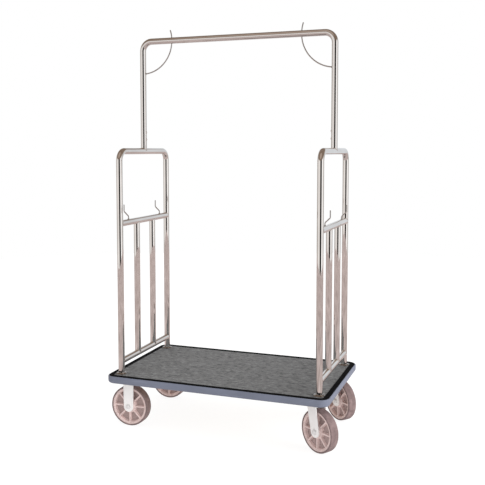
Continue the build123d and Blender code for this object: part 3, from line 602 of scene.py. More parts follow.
class CART_OT_moulding(bpy.types.Operator):
    """Black edge moulding: ribbed flange over the deck's edge, web and foot"""
    bl_idname = "cart.moulding"
    bl_label = "Edge moulding"

    EDGE_ROUND = 0.0006
    FOOT_SETBACK = 0.003

    def execute(self, context):
        sizes, colours = context.scene.cart_sizes, context.scene.cart_colours
        outer, inner, rib, web = TRIM_INSET, CARPET_INSET, sizes.rib_width, sizes.bumper_thickness
        foot = inner + self.FOOT_SETBACK
        small = self.EDGE_ROUND
        profile = [
            (outer, BOARD_TOP, 0), (web, BOARD_TOP, 0), (web, TRIM_BOTTOM, small), (foot, TRIM_BOTTOM, small),
            (foot, BOARD_BOTTOM, 0), (BOARD_INSET, BOARD_BOTTOM, 0), (BOARD_INSET, BOARD_TOP, 0),
            (inner, BOARD_TOP, 0), (inner, TRIM_TOP, small), (inner - rib, TRIM_TOP, small),
            (inner - 1.5 * rib, CARPET_TOP, small), (outer + 1.5 * rib, CARPET_TOP, small),
            (outer + rib, TRIM_TOP, small), (outer, TRIM_TOP, small),
        ]
        bm = bmesh.new()
        band_round_deck(bm, profile, sizes.deck_corner)
        new_piece(
            "edge_trim", bm, "cart", "edge_moulding", ["edge_moulding"], black_moulding(colours.moulding)
        )
        return {"FINISHED"}


class CART_OT_bumper(bpy.types.Operator):
    """Blue-grey vinyl bumper round the deck"""
    bl_idname = "cart.bumper"
    bl_label = "Bumper"

    BOTTOM_ROUND, FACE_ROUND, TOP_ROUND, LIP_ROUND = 0.0095, 0.0060, 0.0042, 0.0008
    BOTTOM_FALL, TOP_FALL = 0.0012, 0.0008

    def execute(self, context):
        sizes, colours = context.scene.cart_sizes, context.scene.cart_colours
        web = sizes.bumper_thickness
        middle = (BUMPER_BOTTOM + BUMPER_TOP) / 2
        profile = [
            (web, BUMPER_BOTTOM, 0), (self.BOTTOM_FALL, BUMPER_BOTTOM, self.BOTTOM_ROUND),
            (0.0, middle, self.FACE_ROUND), (self.TOP_FALL, BUMPER_TOP, self.TOP_ROUND),
            (TRIM_INSET, BUMPER_TOP, self.LIP_ROUND), (TRIM_INSET, BOARD_TOP, 0), (web, BOARD_TOP, 0),
        ]
        bm = bmesh.new()
        band_round_deck(bm, profile, sizes.deck_corner)
        new_piece("bumper_strip", bm, "cart", "bumper", ["bumper"], bumper_vinyl(colours.bumper))
        return {"FINISHED"}


# ---- tube frames -----------------------------------------------------------------------------

TUBE_SIDES = 48
BEND_STEPS = 16
SADDLE_LIFT = 2.2       # how far a weld bead stands off the tubes' crossing, in bead radii


def straight_tube(bm, start, end):
    along = (end - start).normalized()
    ring = hoop_of_edges(bm, start, along, TUBE_RADIUS, TUBE_SIDES)
    cap(bm, ring)
    cap(bm, pull(bm, ring, end - start))


def arch(bm, foot, across, height, bend):
    """Two legs and the top between them, from one tube: foot of the first leg, span and height."""
    span = across.length
    side = across.normalized()
    axis = Z.cross(side)
    ring = hoop_of_edges(bm, foot, Z, TUBE_RADIUS, TUBE_SIDES)
    cap(bm, ring)
    ring = pull(bm, ring, Z * (height - bend))
    first = foot + Z * (height - bend) + side * bend
    ring = swing(bm, ring, first, axis, math.pi / 2, BEND_STEPS)
    ring = pull(bm, ring, side * (span - 2 * bend))
    ring = swing(bm, ring, first + side * (span - 2 * bend), axis, math.pi / 2, BEND_STEPS)
    cap(bm, pull(bm, ring, -Z * (height - bend)))


def weld_bead(bm, joint, main, branch, radius):
    """Bead in the saddle where a branch tube meets a main tube of the same size."""
    normal = main.cross(branch)
    points = []
    for i in range(TUBE_SIDES):
        turn = math.tau * i / TUBE_SIDES
        near, aside = TUBE_RADIUS * math.cos(turn), TUBE_RADIUS * math.sin(turn)
        points.append(joint + main * near + normal * aside + branch * math.hypot(near, SADDLE_LIFT * radius))
    loops = []
    for i, point in enumerate(points):
        along = (points[(i + 1) % TUBE_SIDES] - points[i - 1]).normalized()
        made = bmesh.ops.create_circle(bm, radius=radius, segments=8, matrix=turned(point, along))
        loops.append(list({edge for vert in made["verts"] for edge in vert.link_edges}))
    for before, after in zip(loops, loops[1:] + loops[:1]):
        bmesh.ops.bridge_loops(bm, edges=before + after)


class CART_OT_frames(bpy.types.Operator):
    """Hoop, rails and spindles of both end frames"""
    bl_idname = "cart.frames"
    bl_label = "End frames"

    def execute(self, context):
        sizes, colours = context.scene.cart_sizes, context.scene.cart_colours
        steel = polished_tube(colours.tube)
        for name, end in ENDS.items():
            x = end * UPRIGHT_X
            bm = bmesh.new()
            arch(bm, Vector((x, -UPRIGHT_Y, BOARD_TOP)), Y * 2 * UPRIGHT_Y, HOOP_HEIGHT - BOARD_TOP,
                 sizes.tube_bend)
            new_piece(f"{name}_hoop_tube", bm, "cart", "polished_tube", [f"{name}_hoop"], steel)
            for level, height in (("mid", MID_RAIL_HEIGHT), ("low", LOW_RAIL_HEIGHT)):
                bm = bmesh.new()
                ends = [Vector((x, side * UPRIGHT_Y, height)) for side in (-1, 1)]
                straight_tube(bm, *ends)
                for joint, branch in zip(ends, (Y, -Y)):
                    weld_bead(bm, joint, Z, branch, sizes.weld_bead)
                node = f"{name}_{level}_rail"
                new_piece(f"{node}_tube", bm, "cart", "polished_tube", [node], steel)
            for side_name, side in SIDES.items():
                bm = bmesh.new()
                y = side * SPINDLE_Y
                ends = [Vector((x, y, LOW_RAIL_HEIGHT)), Vector((x, y, MID_RAIL_HEIGHT))]
                straight_tube(bm, *ends)
                for joint, branch in zip(ends, (Z, -Z)):
                    weld_bead(bm, joint, Y, branch, sizes.weld_bead)
                node = f"{name}_{side_name}_spindle"
                new_piece(f"{node}_tube", bm, "cart", "polished_tube", [node], steel)
        return {"FINISHED"}


class CART_OT_hanger(bpy.types.Operator):
    """Hanger bar, bent from one tube and standing on the hoops"""
    bl_idname = "cart.hanger"
    bl_label = "Hanger bar"

    def execute(self, context):
        sizes = context.scene.cart_sizes
        bm = bmesh.new()
        foot = Vector((-UPRIGHT_X, 0, HOOP_HEIGHT))
        arch(bm, foot, X * 2 * UPRIGHT_X, BAR_HEIGHT - HOOP_HEIGHT, sizes.tube_bend)
        for end in ENDS.values():
            weld_bead(bm, Vector((end * UPRIGHT_X, 0, HOOP_HEIGHT)), Y, Z, sizes.weld_bead)
        new_piece(
            "hanger_bar_tube", bm, "cart", "polished_tube", ["hanger_bar"],
            bpy.data.materials["polished_tube"],
        )
        return {"FINISHED"}


class CART_OT_hooks(bpy.types.Operator):
    """Corner rods with their hooks, and the bent wires on the mid rails"""
    bl_idname = "cart.hooks"
    bl_label = "Hooks"

    ROD_BEAD = [
        (0.0, 0.0), (0.0058, 0.0), (0.0054, 0.0012), (0.0042, 0.0024), (0.0032, 0.0030), (0.0, 0.0030),
    ]
    WIRE_BEAD = [
        (0.0, -0.0010), (0.0055, -0.0010), (0.0050, 0.0008), (0.0040, 0.0020), (0.0030, 0.0026),
        (0.0, 0.0026),
    ]
    FOOT, ELBOW, BEND = 0.19, 0.51, 0.16    # of a wire's rise: start of the lean, its end, bend radius
    SINK = 0.001                            # wire's foot inside the rail

    def execute(self, context):
        steel = polished_wire(context.scene.cart_colours.tube)
        for name, end in ENDS.items():
            self.corner_rod(name, end, steel)
            self.rail_wires(name, end, steel)
        return {"FINISHED"}

    def corner_rod(self, name, end, steel):
        """One arc about the corner where leg and bar axes meet."""
        low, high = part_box(f"{name}_garment_hook")
        corner = Vector((end * UPRIGHT_X, 0, BAR_HEIGHT))
        arc_radius = BAR_HEIGHT - low.z - ROD_RADIUS
        tip_angle = math.asin((high.z - ROD_RADIUS - BAR_HEIGHT) / arc_radius)
        bm = bmesh.new()
        ring = hoop_of_edges(bm, corner - Z * arc_radius, X * end, ROD_RADIUS, 20)
        cap(bm, ring)
        ring = swing(bm, ring, corner, Y * end, math.pi / 2 + tip_angle, 56)
        tip_along = Vector((end * math.sin(tip_angle), 0, math.cos(tip_angle)))
        dome(bm, ring, tip_along, ROD_RADIUS)
        collar = corner - Z * arc_radius - X * end * (TUBE_RADIUS - 0.0004)
        lathe(bm, self.ROD_BEAD, turned(collar, -X * end), 24)
        new_piece(f"{name}_corner_rod", bm, "cart", "hook_wire", [f"{name}_garment_hook"], steel)

    def rail_wires(self, name, end, steel):
        """Two wires that rise from the rail, lean outward and end upright."""
        low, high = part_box(f"{name}_rail_hooks")
        y = high.y - WIRE_RADIUS
        lean = (high.x - low.x) - 2 * WIRE_RADIUS
        rail_top = MID_RAIL_HEIGHT + TUBE_RADIUS
        rise = high.z - rail_top
        foot, elbow, bend = self.FOOT * rise, self.ELBOW * rise, self.BEND * rise
        angle = math.atan2(lean, elbow - foot)
        trim = bend * math.tan(angle / 2)
        slant = Vector((end * math.sin(angle), 0, math.cos(angle)))
        bm = bmesh.new()
        for side in (-1, 1):
            start = Vector((end * UPRIGHT_X, side * y, rail_top - self.SINK))
            ring = hoop_of_edges(bm, start, Z, WIRE_RADIUS, 16)
            cap(bm, ring)
            ring = pull(bm, ring, Z * (foot - trim + self.SINK))
            turn = start + Z * (foot - trim + self.SINK)
            ring = swing(bm, ring, turn + X * end * bend, Y * end, angle, 10)
            ring = pull(bm, ring, slant * (math.hypot(lean, elbow - foot) - 2 * trim))
            tip_x = end * (UPRIGHT_X + lean)
            centre = Vector((tip_x - end * bend, side * y, rail_top + elbow + trim))
            ring = swing(bm, ring, centre, -Y * end, angle, 10)
            ring = pull(bm, ring, Z * (rise - elbow - trim - WIRE_RADIUS))
            dome(bm, ring, Z, WIRE_RADIUS)
            lathe(bm, self.WIRE_BEAD, Matrix.Translation(start + Z * 0.0008), 24)
        new_piece(f"{name}_rail_wires", bm, "cart", "hook_wire", [f"{name}_rail_hooks"], steel)


# ---- fittings --------------------------------------------------------------------------------

def screw_head(bm, place, radius, height, socket):
    """Button head with a round socket, drawn about Z with its underside at the origin."""
    before = set(bm.verts)
    shoulder, socket_depth, lip = 0.25, 0.55, math.radians(58)
    profile = [(radius, 0.0)]
    profile += [(radius * math.cos(a), height * (shoulder + (1 - shoulder) * math.sin(a)))
                for a in (0.0, math.radians(20), math.radians(40), lip)]
    made = lathe(bm, profile, Matrix.Identity(4), 24)
    open_edges = {edge for vert in made for edge in vert.link_edges if edge.is_boundary}
    top = [edge for edge in open_edges if edge.verts[0].co.z > 0.5 * height]
    base = [edge for edge in open_edges if edge.verts[0].co.z < 0.5 * height]
    ring = pull(bm, top, Vector((0, 0, 0)), socket / (radius * math.cos(lip)))
    cap(bm, pull(bm, ring, -Z * socket_depth * height))
    cap(bm, base)
    bmesh.ops.transform(bm, matrix=place, verts=[vert for vert in bm.verts if vert not in before])


class CART_OT_flanges(bpy.types.Operator):
    """Domed flange and its four screws at the foot of every upright"""
    bl_idname = "cart.flanges"
    bl_label = "Floor flanges"

    SCREW_SEAT = 0.60       # of the flange's rise
    SOCKET = 0.0013
    EDGE = 0.16             # upright part of the flange's rim, of its rise

    def execute(self, context):
        bright = context.scene.cart_colours.tube
        # The flange domes' chrome is darkened to 0.42 as a painted reflection of the black moulding and carpet
        # round them.
        steel, chrome_with_painted_reflection = polished_fitting(bright), polished_fitting(tinted(bright, 0.42), "flange_chrome_painted_reflection")
        low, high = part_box("floor_flanges")
        rim = high.x - UPRIGHT_X
        rise = high.z - low.z
        bore = TUBE_RADIUS + 0.0002
        flanges, screws = bmesh.new(), bmesh.new()
        shoulder = rim - bore
        profile = [(bore, 0.0), (rim, 0.0), (rim, self.EDGE * rise)]
        for turn in (15, 30, 45, 60, 75, 90):
            a = math.radians(turn)
            height = rise * (self.EDGE + (1 - self.EDGE) * math.sin(a))
            profile.append((rim - 0.75 * shoulder * (1 - math.cos(a)), height))
        profile += [(bore + 0.0008, rise), (bore, rise - 0.0008), (bore, 0.0)]
        head = context.scene.cart_sizes.flange_screw
        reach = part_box("floor_flange_screws")[1].x - head - UPRIGHT_X
        for end in ENDS.values():
            for side in SIDES.values():
                foot = Vector((end * UPRIGHT_X, side * UPRIGHT_Y, CARPET_TOP))
                lathe(flanges, profile, Matrix.Translation(foot), 64)
                for sx in (-1, 1):
                    for sy in (-1, 1):
                        spot = foot + Vector((sx * reach, sy * reach, self.SCREW_SEAT * rise))
                        screw_head(screws, Matrix.Translation(spot), head, head * 0.75, self.SOCKET)
        new_piece("flange_domes", flanges, "cart", "polished_fittings", ["floor_flanges"], chrome_with_painted_reflection)
        new_piece("flange_screw_heads", screws, "cart", "polished_fittings", ["floor_flange_screws"], steel)
        return {"FINISHED"}


class CART_OT_hanger_screws(bpy.types.Operator):
    """Button-headed screws in the feet of the hanger's legs"""
    bl_idname = "cart.hanger_screws"
    bl_label = "Hanger screws"

    def execute(self, context):
        bm = bmesh.new()
        low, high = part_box("hanger_screws")
        head = (high.y - low.y) / 2
        for end in ENDS.values():
            for height in (low.z + head, high.z - head):
                spot = Vector((end * (UPRIGHT_X - TUBE_RADIUS + 0.0012), 0, height))
                screw_head(bm, turned(spot, -X * end), head, head * 0.62, head * 0.38)
        new_piece(
            "hanger_screw_heads", bm, "cart", "polished_fittings", ["hanger_screws"],
            bpy.data.materials["polished_fitting"],
        )
        return {"FINISHED"}


# ---- casters ---------------------------------------------------------------------------------

def axle_place(end, side):
    """Matrix from wheel coordinates (axle along Z, up along Y) to the cart."""
    joint = JOINTS[f"{end}_{side}_roll"]
    axle = Y if end == "left" else Vector(joint["axis"]).normalized()
    forward = Z.cross(axle)
    turn = Matrix((forward, Z, forward.cross(Z))).transposed().to_4x4()
    return Matrix.Translation(Vector(joint["pos_m"])) @ turn


class CART_OT_wheels(bpy.types.Operator):
    """Spoked cores and tyres of the four wheels"""
    bl_idname = "cart.wheels"
    bl_label = "Wheels"

    SPOKES = 8
    STEPS = 96
    BORE = 0.016
    FACE_SETBACK = 0.0028       # core's face behind the tread's side
    POCKET_CORNER = 0.0026
    SHOULDER = 0.0065

    def execute(self, context):
        sizes, colours = context.scene.cart_sizes, context.scene.cart_colours
        core_paint, pocket_shade_paint = core_moulding(colours.core), pocket_moulding_and_shade(colours.pocket)
        rubber = tread_rubber(colours.tread)
        for end in ENDS:
            for side in SIDES:
                name, place = f"{end}_{side}", axle_place(end, side)
                bm = self.core(sizes)
                bmesh.ops.transform(bm, matrix=place, verts=bm.verts)
                new_piece(
                    f"{name}_core", bm, f"{name}_wheel", "wheel_core", [f"{name}_wheel_core"],
                    core_paint, pocket_shade_paint, sharp=50.0,
                )
                bm = self.tyre()
                bmesh.ops.transform(bm, matrix=place, verts=bm.verts)
                new_piece(f"{name}_tread", bm, f"{name}_wheel", "tyre", [f"{name}_tyre"], rubber)
        return {"FINISHED"}

    def core(self, sizes):
        """Hub, rim and the moulded body between them, pocketed on both faces."""
        hub, hub_end = sizes.hub_ring, HUB_LENGTH / 2
        rim_in, face = CORE_RADIUS - sizes.rim_ring, TREAD_WIDTH / 2 - self.FACE_SETBACK
        flat = face - sizes.rim_recess
        bore = self.BORE
        hub_half = [
            (bore, hub_end - 0.003), (bore + 0.0012, hub_end - 0.0006), (bore + 0.002, hub_end),
            (hub - 0.002, hub_end), (hub - 0.0006, hub_end - 0.0006), (hub, hub_end - 0.002),
            (hub + 0.0006, flat + 0.0012), (hub + 0.0018, flat),
        ]
        rim_half = [
            (rim_in - 0.0012, flat), (rim_in, flat + 0.0010), (rim_in + 0.0008, face - 0.0008),
            (rim_in + 0.0018, face), (CORE_RADIUS - 0.0012, face), (CORE_RADIUS - 0.0003, face - 0.0006),
        ]
        bm = bmesh.new()
        lathe(bm, hub_half[::-1] + [(r, -z) for r, z in hub_half], Matrix.Identity(4), self.STEPS)
        lathe(bm, rim_half + [(r, -z) for r, z in rim_half[::-1]], Matrix.Identity(4), self.STEPS)
        for sign in (-1, 1):
            for pocket in range(self.SPOKES):
                self.pocket(bm, sizes, sign * flat, math.tau * pocket / self.SPOKES)
            face_edges = [
                edge for edge in bm.edges
                if edge.is_boundary and all(abs(vert.co.z - sign * flat) < 1e-6 for vert in edge.verts)
            ]
            bmesh.ops.triangle_fill(bm, use_beauty=True, edges=face_edges, normal=(0, 0, sign))
        return bm

    def pocket(self, bm, sizes, level, turn):
        """Pocket between two spokes: rounded outline, drawn down in steps and closed."""
        inner, outer = sizes.hub_ring + 0.0040, CORE_RADIUS - sizes.rim_ring - 0.0032
        half_spoke, sector, arc_steps = sizes.spoke_width / 2, math.tau / self.SPOKES, 10
        points = []
        for radius, way in ((inner, 1), (outer, -1)):
            margin = math.asin(half_spoke / radius)
            turns = [turn + margin + (sector - 2 * margin) * i / arc_steps for i in range(arc_steps + 1)]
            points += [(radius * math.cos(a), radius * math.sin(a)) for a in turns[::way]]
        verts = [bm.verts.new((x, y, level)) for x, y in points]
        for pair in zip(verts, verts[1:] + verts[:1]):
            bm.edges.new(pair)
        corners = [verts[0], verts[arc_steps], verts[arc_steps + 1], verts[-1]]
        made = bmesh.ops.bevel(
            bm, geom=corners, offset=self.POCKET_CORNER, segments=4, profile=0.5, affect="VERTICES",
            material=-1,
        )
        loop = {vert for vert in (*verts, *made["verts"]) if vert.is_valid}
        ring = list({edge for vert in loop for edge in vert.link_edges})
        down = -math.copysign(1.0, level) * Z
        for drop, scale in ((0.0002, 0.992), (0.0006, 0.990), (sizes.pocket_depth - 0.0024, 0.985),
                            (0.0010, 0.975), (0.0006, 0.955)):
            ring = pull(bm, ring, down * drop, scale)
        floor = bmesh.ops.edgeloop_fill(bm, edges=ring)["faces"]
        # The pocket floors take the second, darker finish: partly the rough web, partly painted shade.
        for face in floor:
            face.material_index = 1

    def tyre(self):
        """Solid tread with rounded shoulders, a low crown and a parting line."""
        outer, inner, half, shoulder = WHEEL_RADIUS, CORE_RADIUS, TREAD_WIDTH / 2, self.SHOULDER
        profile = [(inner, half - 0.0016), (inner + 0.0010, half - 0.0006), (outer - shoulder, half)]
        for turn in (18, 36, 54, 72, 90):
            a = math.radians(turn)
            fall, set_in = shoulder * (1 - math.sin(a)), shoulder * (1 - math.cos(a))
            profile.append((outer - 0.0004 - fall, half - set_in))
        profile += [(outer - 0.0001, 0.006), (outer, 0.0008), (outer - 0.0004, 0.0004), (outer - 0.0004, 0.0)]
        mirrored = [(radius, -height) for radius, height in reversed(profile[:-1])]
        bm = bmesh.new()
        lathe(bm, profile + mirrored + profile[:1], Matrix.Identity(4), self.STEPS)
        return bm


def hex_head(bm, place, across, thick, thread_end=None):
    """Chamfered hexagon with a washer under it, drawn about Z with the washer's underside at the origin."""
    washer, chamfer, thread_chamfer = 0.0016, 0.0010, 0.0008
    crown_share = 0.86
    outer = across * 0.5 / math.cos(math.pi / 6)
    on_washer = place @ Matrix.Translation((0, 0, washer))
    up = place.to_3x3() @ Z
    lathe(bm, [(0.0, 0.0), (outer * 1.16, 0.0), (outer * 1.18, washer * 0.3), (outer * 1.16, washer),
               (0.0, washer)], place, 48)
    made = bmesh.ops.create_circle(bm, cap_ends=True, radius=outer, segments=6, matrix=on_washer)
    base = list({face for vert in made["verts"] for face in vert.link_faces})
    top = bmesh.ops.extrude_face_region(bm, geom=base)["geom"]
    bmesh.ops.translate(bm, verts=points_of(top), vec=up * (thick - chamfer))
    lid = [item for item in top if isinstance(item, bmesh.types.BMFace)]
    crown = points_of(bmesh.ops.extrude_face_region(bm, geom=lid)["geom"])
    centre = sum((vert.co for vert in crown), Vector()) / len(crown)
    bmesh.ops.scale(bm, verts=crown, vec=(crown_share,) * 3, space=Matrix.Translation(-centre))
    bmesh.ops.translate(bm, verts=crown, vec=up * chamfer)
    bmesh.ops.delete(bm, geom=lid, context="FACES_ONLY")
    if thread_end:
        radius, stub = thread_end
        lathe(bm, [(0.0, 0.0), (radius, 0.0), (radius, stub - thread_chamfer),
                   (radius - thread_chamfer, stub), (0.0, stub)], on_washer, 32)


class CART_OT_forks(bpy.types.Operator):
    """Bent steel forks, the mounting plates of the rigid pair and the axle bolts"""
    bl_idname = "cart.forks"
    bl_label = "Forks"

    HUB_CLEARANCE = 0.0005
    BEND = 0.004                # inner radius where a leg turns into the crown
    EDGE_ROUND = 0.0008
    FOOT_STEPS = 22
    SQUARE_WITHIN = 0.001       # how far a kingpin may stand off the plane of its wheel
    LIP = 0.006                 # how much lower a swivel's leg ends at its back
    SLOPE_RUN, SLOPE_RISE = 0.006, 0.001    # underside of the crown where it leaves the leg's back

    def execute(self, context):
        sizes, colours = context.scene.cart_sizes, context.scene.cart_colours
        zinc = zinc_plate(colours.zinc)
        hardware = zinc_plate(tinted(colours.zinc, 0.82), "zinc_hardware", 0.02)
        gap = HUB_LENGTH / 2 + self.HUB_CLEARANCE
        rigid_bolts = bmesh.new()
        for side in SIDES:
            place = axle_place("left", side)
            bm = bmesh.new()
            self.fork(bm, place, gap, 0.0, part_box(f"{side}_swivel_plate")[0].z, sizes)
            self.plate(bm, side, sizes)
            new_piece(f"{side}_rigid_fork_steel", bm, "cart", "zinc_fork", [f"{side}_rigid_fork"], zinc)
            self.bolts(rigid_bolts, place, gap + sizes.fork_wall, sizes)
            place = axle_place("right", side)
            bm = bmesh.new()
            pivot = Vector(JOINTS[f"{side}_swivel_turn"]["pos_m"])
            trail = (place.translation - pivot).to_2d().length
            self.fork(bm, place, gap, trail, CROWN_TOP, sizes)
            body = f"{side}_swivel"
            new_piece(f"{body}_fork_steel", bm, body, "zinc_fork", [f"{body}_fork"], zinc)
            bm = bmesh.new()
            self.bolts(bm, place, gap + sizes.fork_wall, sizes)
            new_piece(f"{body}_axle", bm, body, "zinc_fastener", [f"{body}_axle_fasteners"], hardware)
        new_piece("rigid_axles", rigid_bolts, "cart", "zinc_fastener", ["rigid_axle_fasteners"], hardware)
        return {"FINISHED"}

    def fork(self, bm, place, gap, trail, top, sizes):
        """One leg drawn flat, its top bent over to the middle, then mirrored to the other leg."""
        wall = sizes.fork_wall
        straight_top = top - wall - WHEEL_RADIUS - self.BEND
        outline = self.leg_outline(sizes, trail, straight_top)
        if self.heading(place, trail) < 0:
            outline = [(-x, y) for x, y in outline[::-1]]
        leg = bm.faces.new([bm.verts.new((x, y, gap)) for x, y in outline])
        raised = bmesh.ops.extrude_face_region(bm, geom=[leg])["geom"]
        bmesh.ops.translate(bm, verts=points_of(raised), vec=(0, 0, wall))
        bmesh.ops.recalc_face_normals(bm, faces=bm.faces)
        lid = max(
            (face for face in bm.faces if face.normal.y > 0.99), key=lambda face: face.calc_center_median().y
        )
        rim = list(lid.edges)
        bmesh.ops.delete(bm, geom=[lid], context="FACES_ONLY")
        rim = swing(bm, rim, (0, straight_top, gap - self.BEND), (1, 0, 0), -math.pi / 2, 6)
        pull(bm, rim, (0, 0, self.BEND - gap))
        bmesh.ops.recalc_face_normals(bm, faces=bm.faces)
        long_edges = [edge for edge in sharp_edges(bm, 50.0) if edge.calc_length() > 3 * wall]
        soften(bm, long_edges, self.EDGE_ROUND)
        bmesh.ops.mirror(bm, geom=everything(bm), matrix=Matrix.Identity(4), merge_dist=1e-6, axis="Z")
        bmesh.ops.remove_doubles(bm, verts=bm.verts, dist=1e-6)
        bmesh.ops.transform(bm, matrix=place, verts=bm.verts)

    def heading(self, place, trail):
        """Which way along the wheel's X the kingpin lies from the axle."""
        if not trail:
            return 1.0
        inward = place.inverted()
        for side in SIDES:
            pivot = Vector(JOINTS[f"{side}_swivel_turn"]["pos_m"])
            local = inward @ pivot
            if abs(local.z) < self.SQUARE_WITHIN:
                return math.copysign(1.0, local.x)
        raise RuntimeError("the axle isn't square to its kingpin")

    def leg_outline(self, sizes, trail, top):
        """Round foot about the origin, straight sides and a top that leads the kingpin; X points to it."""
        radius, half = sizes.fork_foot, sizes.fork_leg / 2
        middle = trail - sizes.fork_lead if trail else 0.0
        lip = self.LIP if trail else 0.0
        front, back = (middle - half, top), (middle + half, top - lip)
        turns = []
        for (x, y), sign in ((back, -1), (front, 1)):
            turns.append(math.atan2(y, x) + sign * math.acos(radius / math.hypot(x, y)))
        start, stop = turns[0], turns[1] - math.tau
        points = []
        for i in range(self.FOOT_STEPS + 1):
            a = start + (stop - start) * i / self.FOOT_STEPS
            points.append((radius * math.cos(a), radius * math.sin(a)))
        if not trail:
            return points + [front, back]
        heel, under = trail + sizes.crown_back, top - lip + self.SLOPE_RISE
        return points + [front, (heel, top), (heel, under), (back[0] + self.SLOPE_RUN, under), back]

    def plate(self, bm, side, sizes):
        """Mounting plate of a rigid caster, with rounded corners."""
        low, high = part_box(f"{side}_rigid_fork")
        thick, width = sizes.plate_thickness, high.x - low.x
        centre = Vector(((low.x + high.x) / 2, (low.y + high.y) / 2, PLATE_TOP - thick / 2))
        place = Matrix.Translation(centre) @ Matrix.Diagonal((width, width, thick, 1))
        made = bmesh.ops.create_cube(bm, size=1.0, matrix=place)
        edges = {edge for vert in made["verts"] for edge in vert.link_edges}
        upright = [edge for edge in edges if abs((edge.verts[0].co - edge.verts[1].co).z) > thick / 2]
        soften(bm, upright, sizes.plate_corner, 6)

    def bolts(self, bm, place, outer, sizes):
        """Axle bolt head on one side, nut and thread end on the other."""
        across, thick, radius = sizes.axle_head, sizes.axle_head_height, sizes.axle / 2
        lathe(bm, [(0.0, -outer), (radius, -outer), (radius, outer), (0.0, outer)], place, 24)
        hex_head(bm, place @ turned((0, 0, -outer), (0, 0, -1)), across, thick)
        hex_head(bm, place @ turned((0, 0, outer), (0, 0, 1)), across, thick, (radius, thick * 1.35))


# ---- undercarriage: CAD pieces that keep their shape -----------------------------------------

class CART_OT_undercarriage(bpy.types.Operator):
    """Finishes for the board, plates, bearings and fasteners that keep their CAD shape"""
    bl_idname = "cart.undercarriage"
    bl_label = "Undercarriage"

    SHARED = {
        "zinc_fastener": "zinc_hardware", "zinc_fork": "zinc_plate", "polished_tube": "polished_tube",
        "polished_fittings": "polished_fitting", "hook_wire": "polished_wire", "carpet": "carpet_pile",
        "edge_moulding": "black_moulding", "bumper": "bumper_vinyl", "wheel_core": "core_moulding",
        "tyre": "tread_rubber",
    }

    def execute(self, context):
        slots = {entry["node"]: entry["material_slot"] for entry in frame["record"]["subparts"]}
        finishes = {slot: bpy.data.materials[name] for slot, name in self.SHARED.items()}
        finishes["board"] = plywood(context.scene.cart_colours.board)
        finishes["steel_plate"] = plain_steel("steel_plate", (0.46, 0.46, 0.47), 0.42)
        finishes["bearing"] = plain_steel("bearing_steel", (0.52, 0.52, 0.53), 0.25)
        for name, node in frame["nodes"].items():
            for slot in node.material_slots:
                slot.material = finishes[slots[name]]
        return {"FINISHED"}


# ---- stage -----------------------------------------------------------------------------------

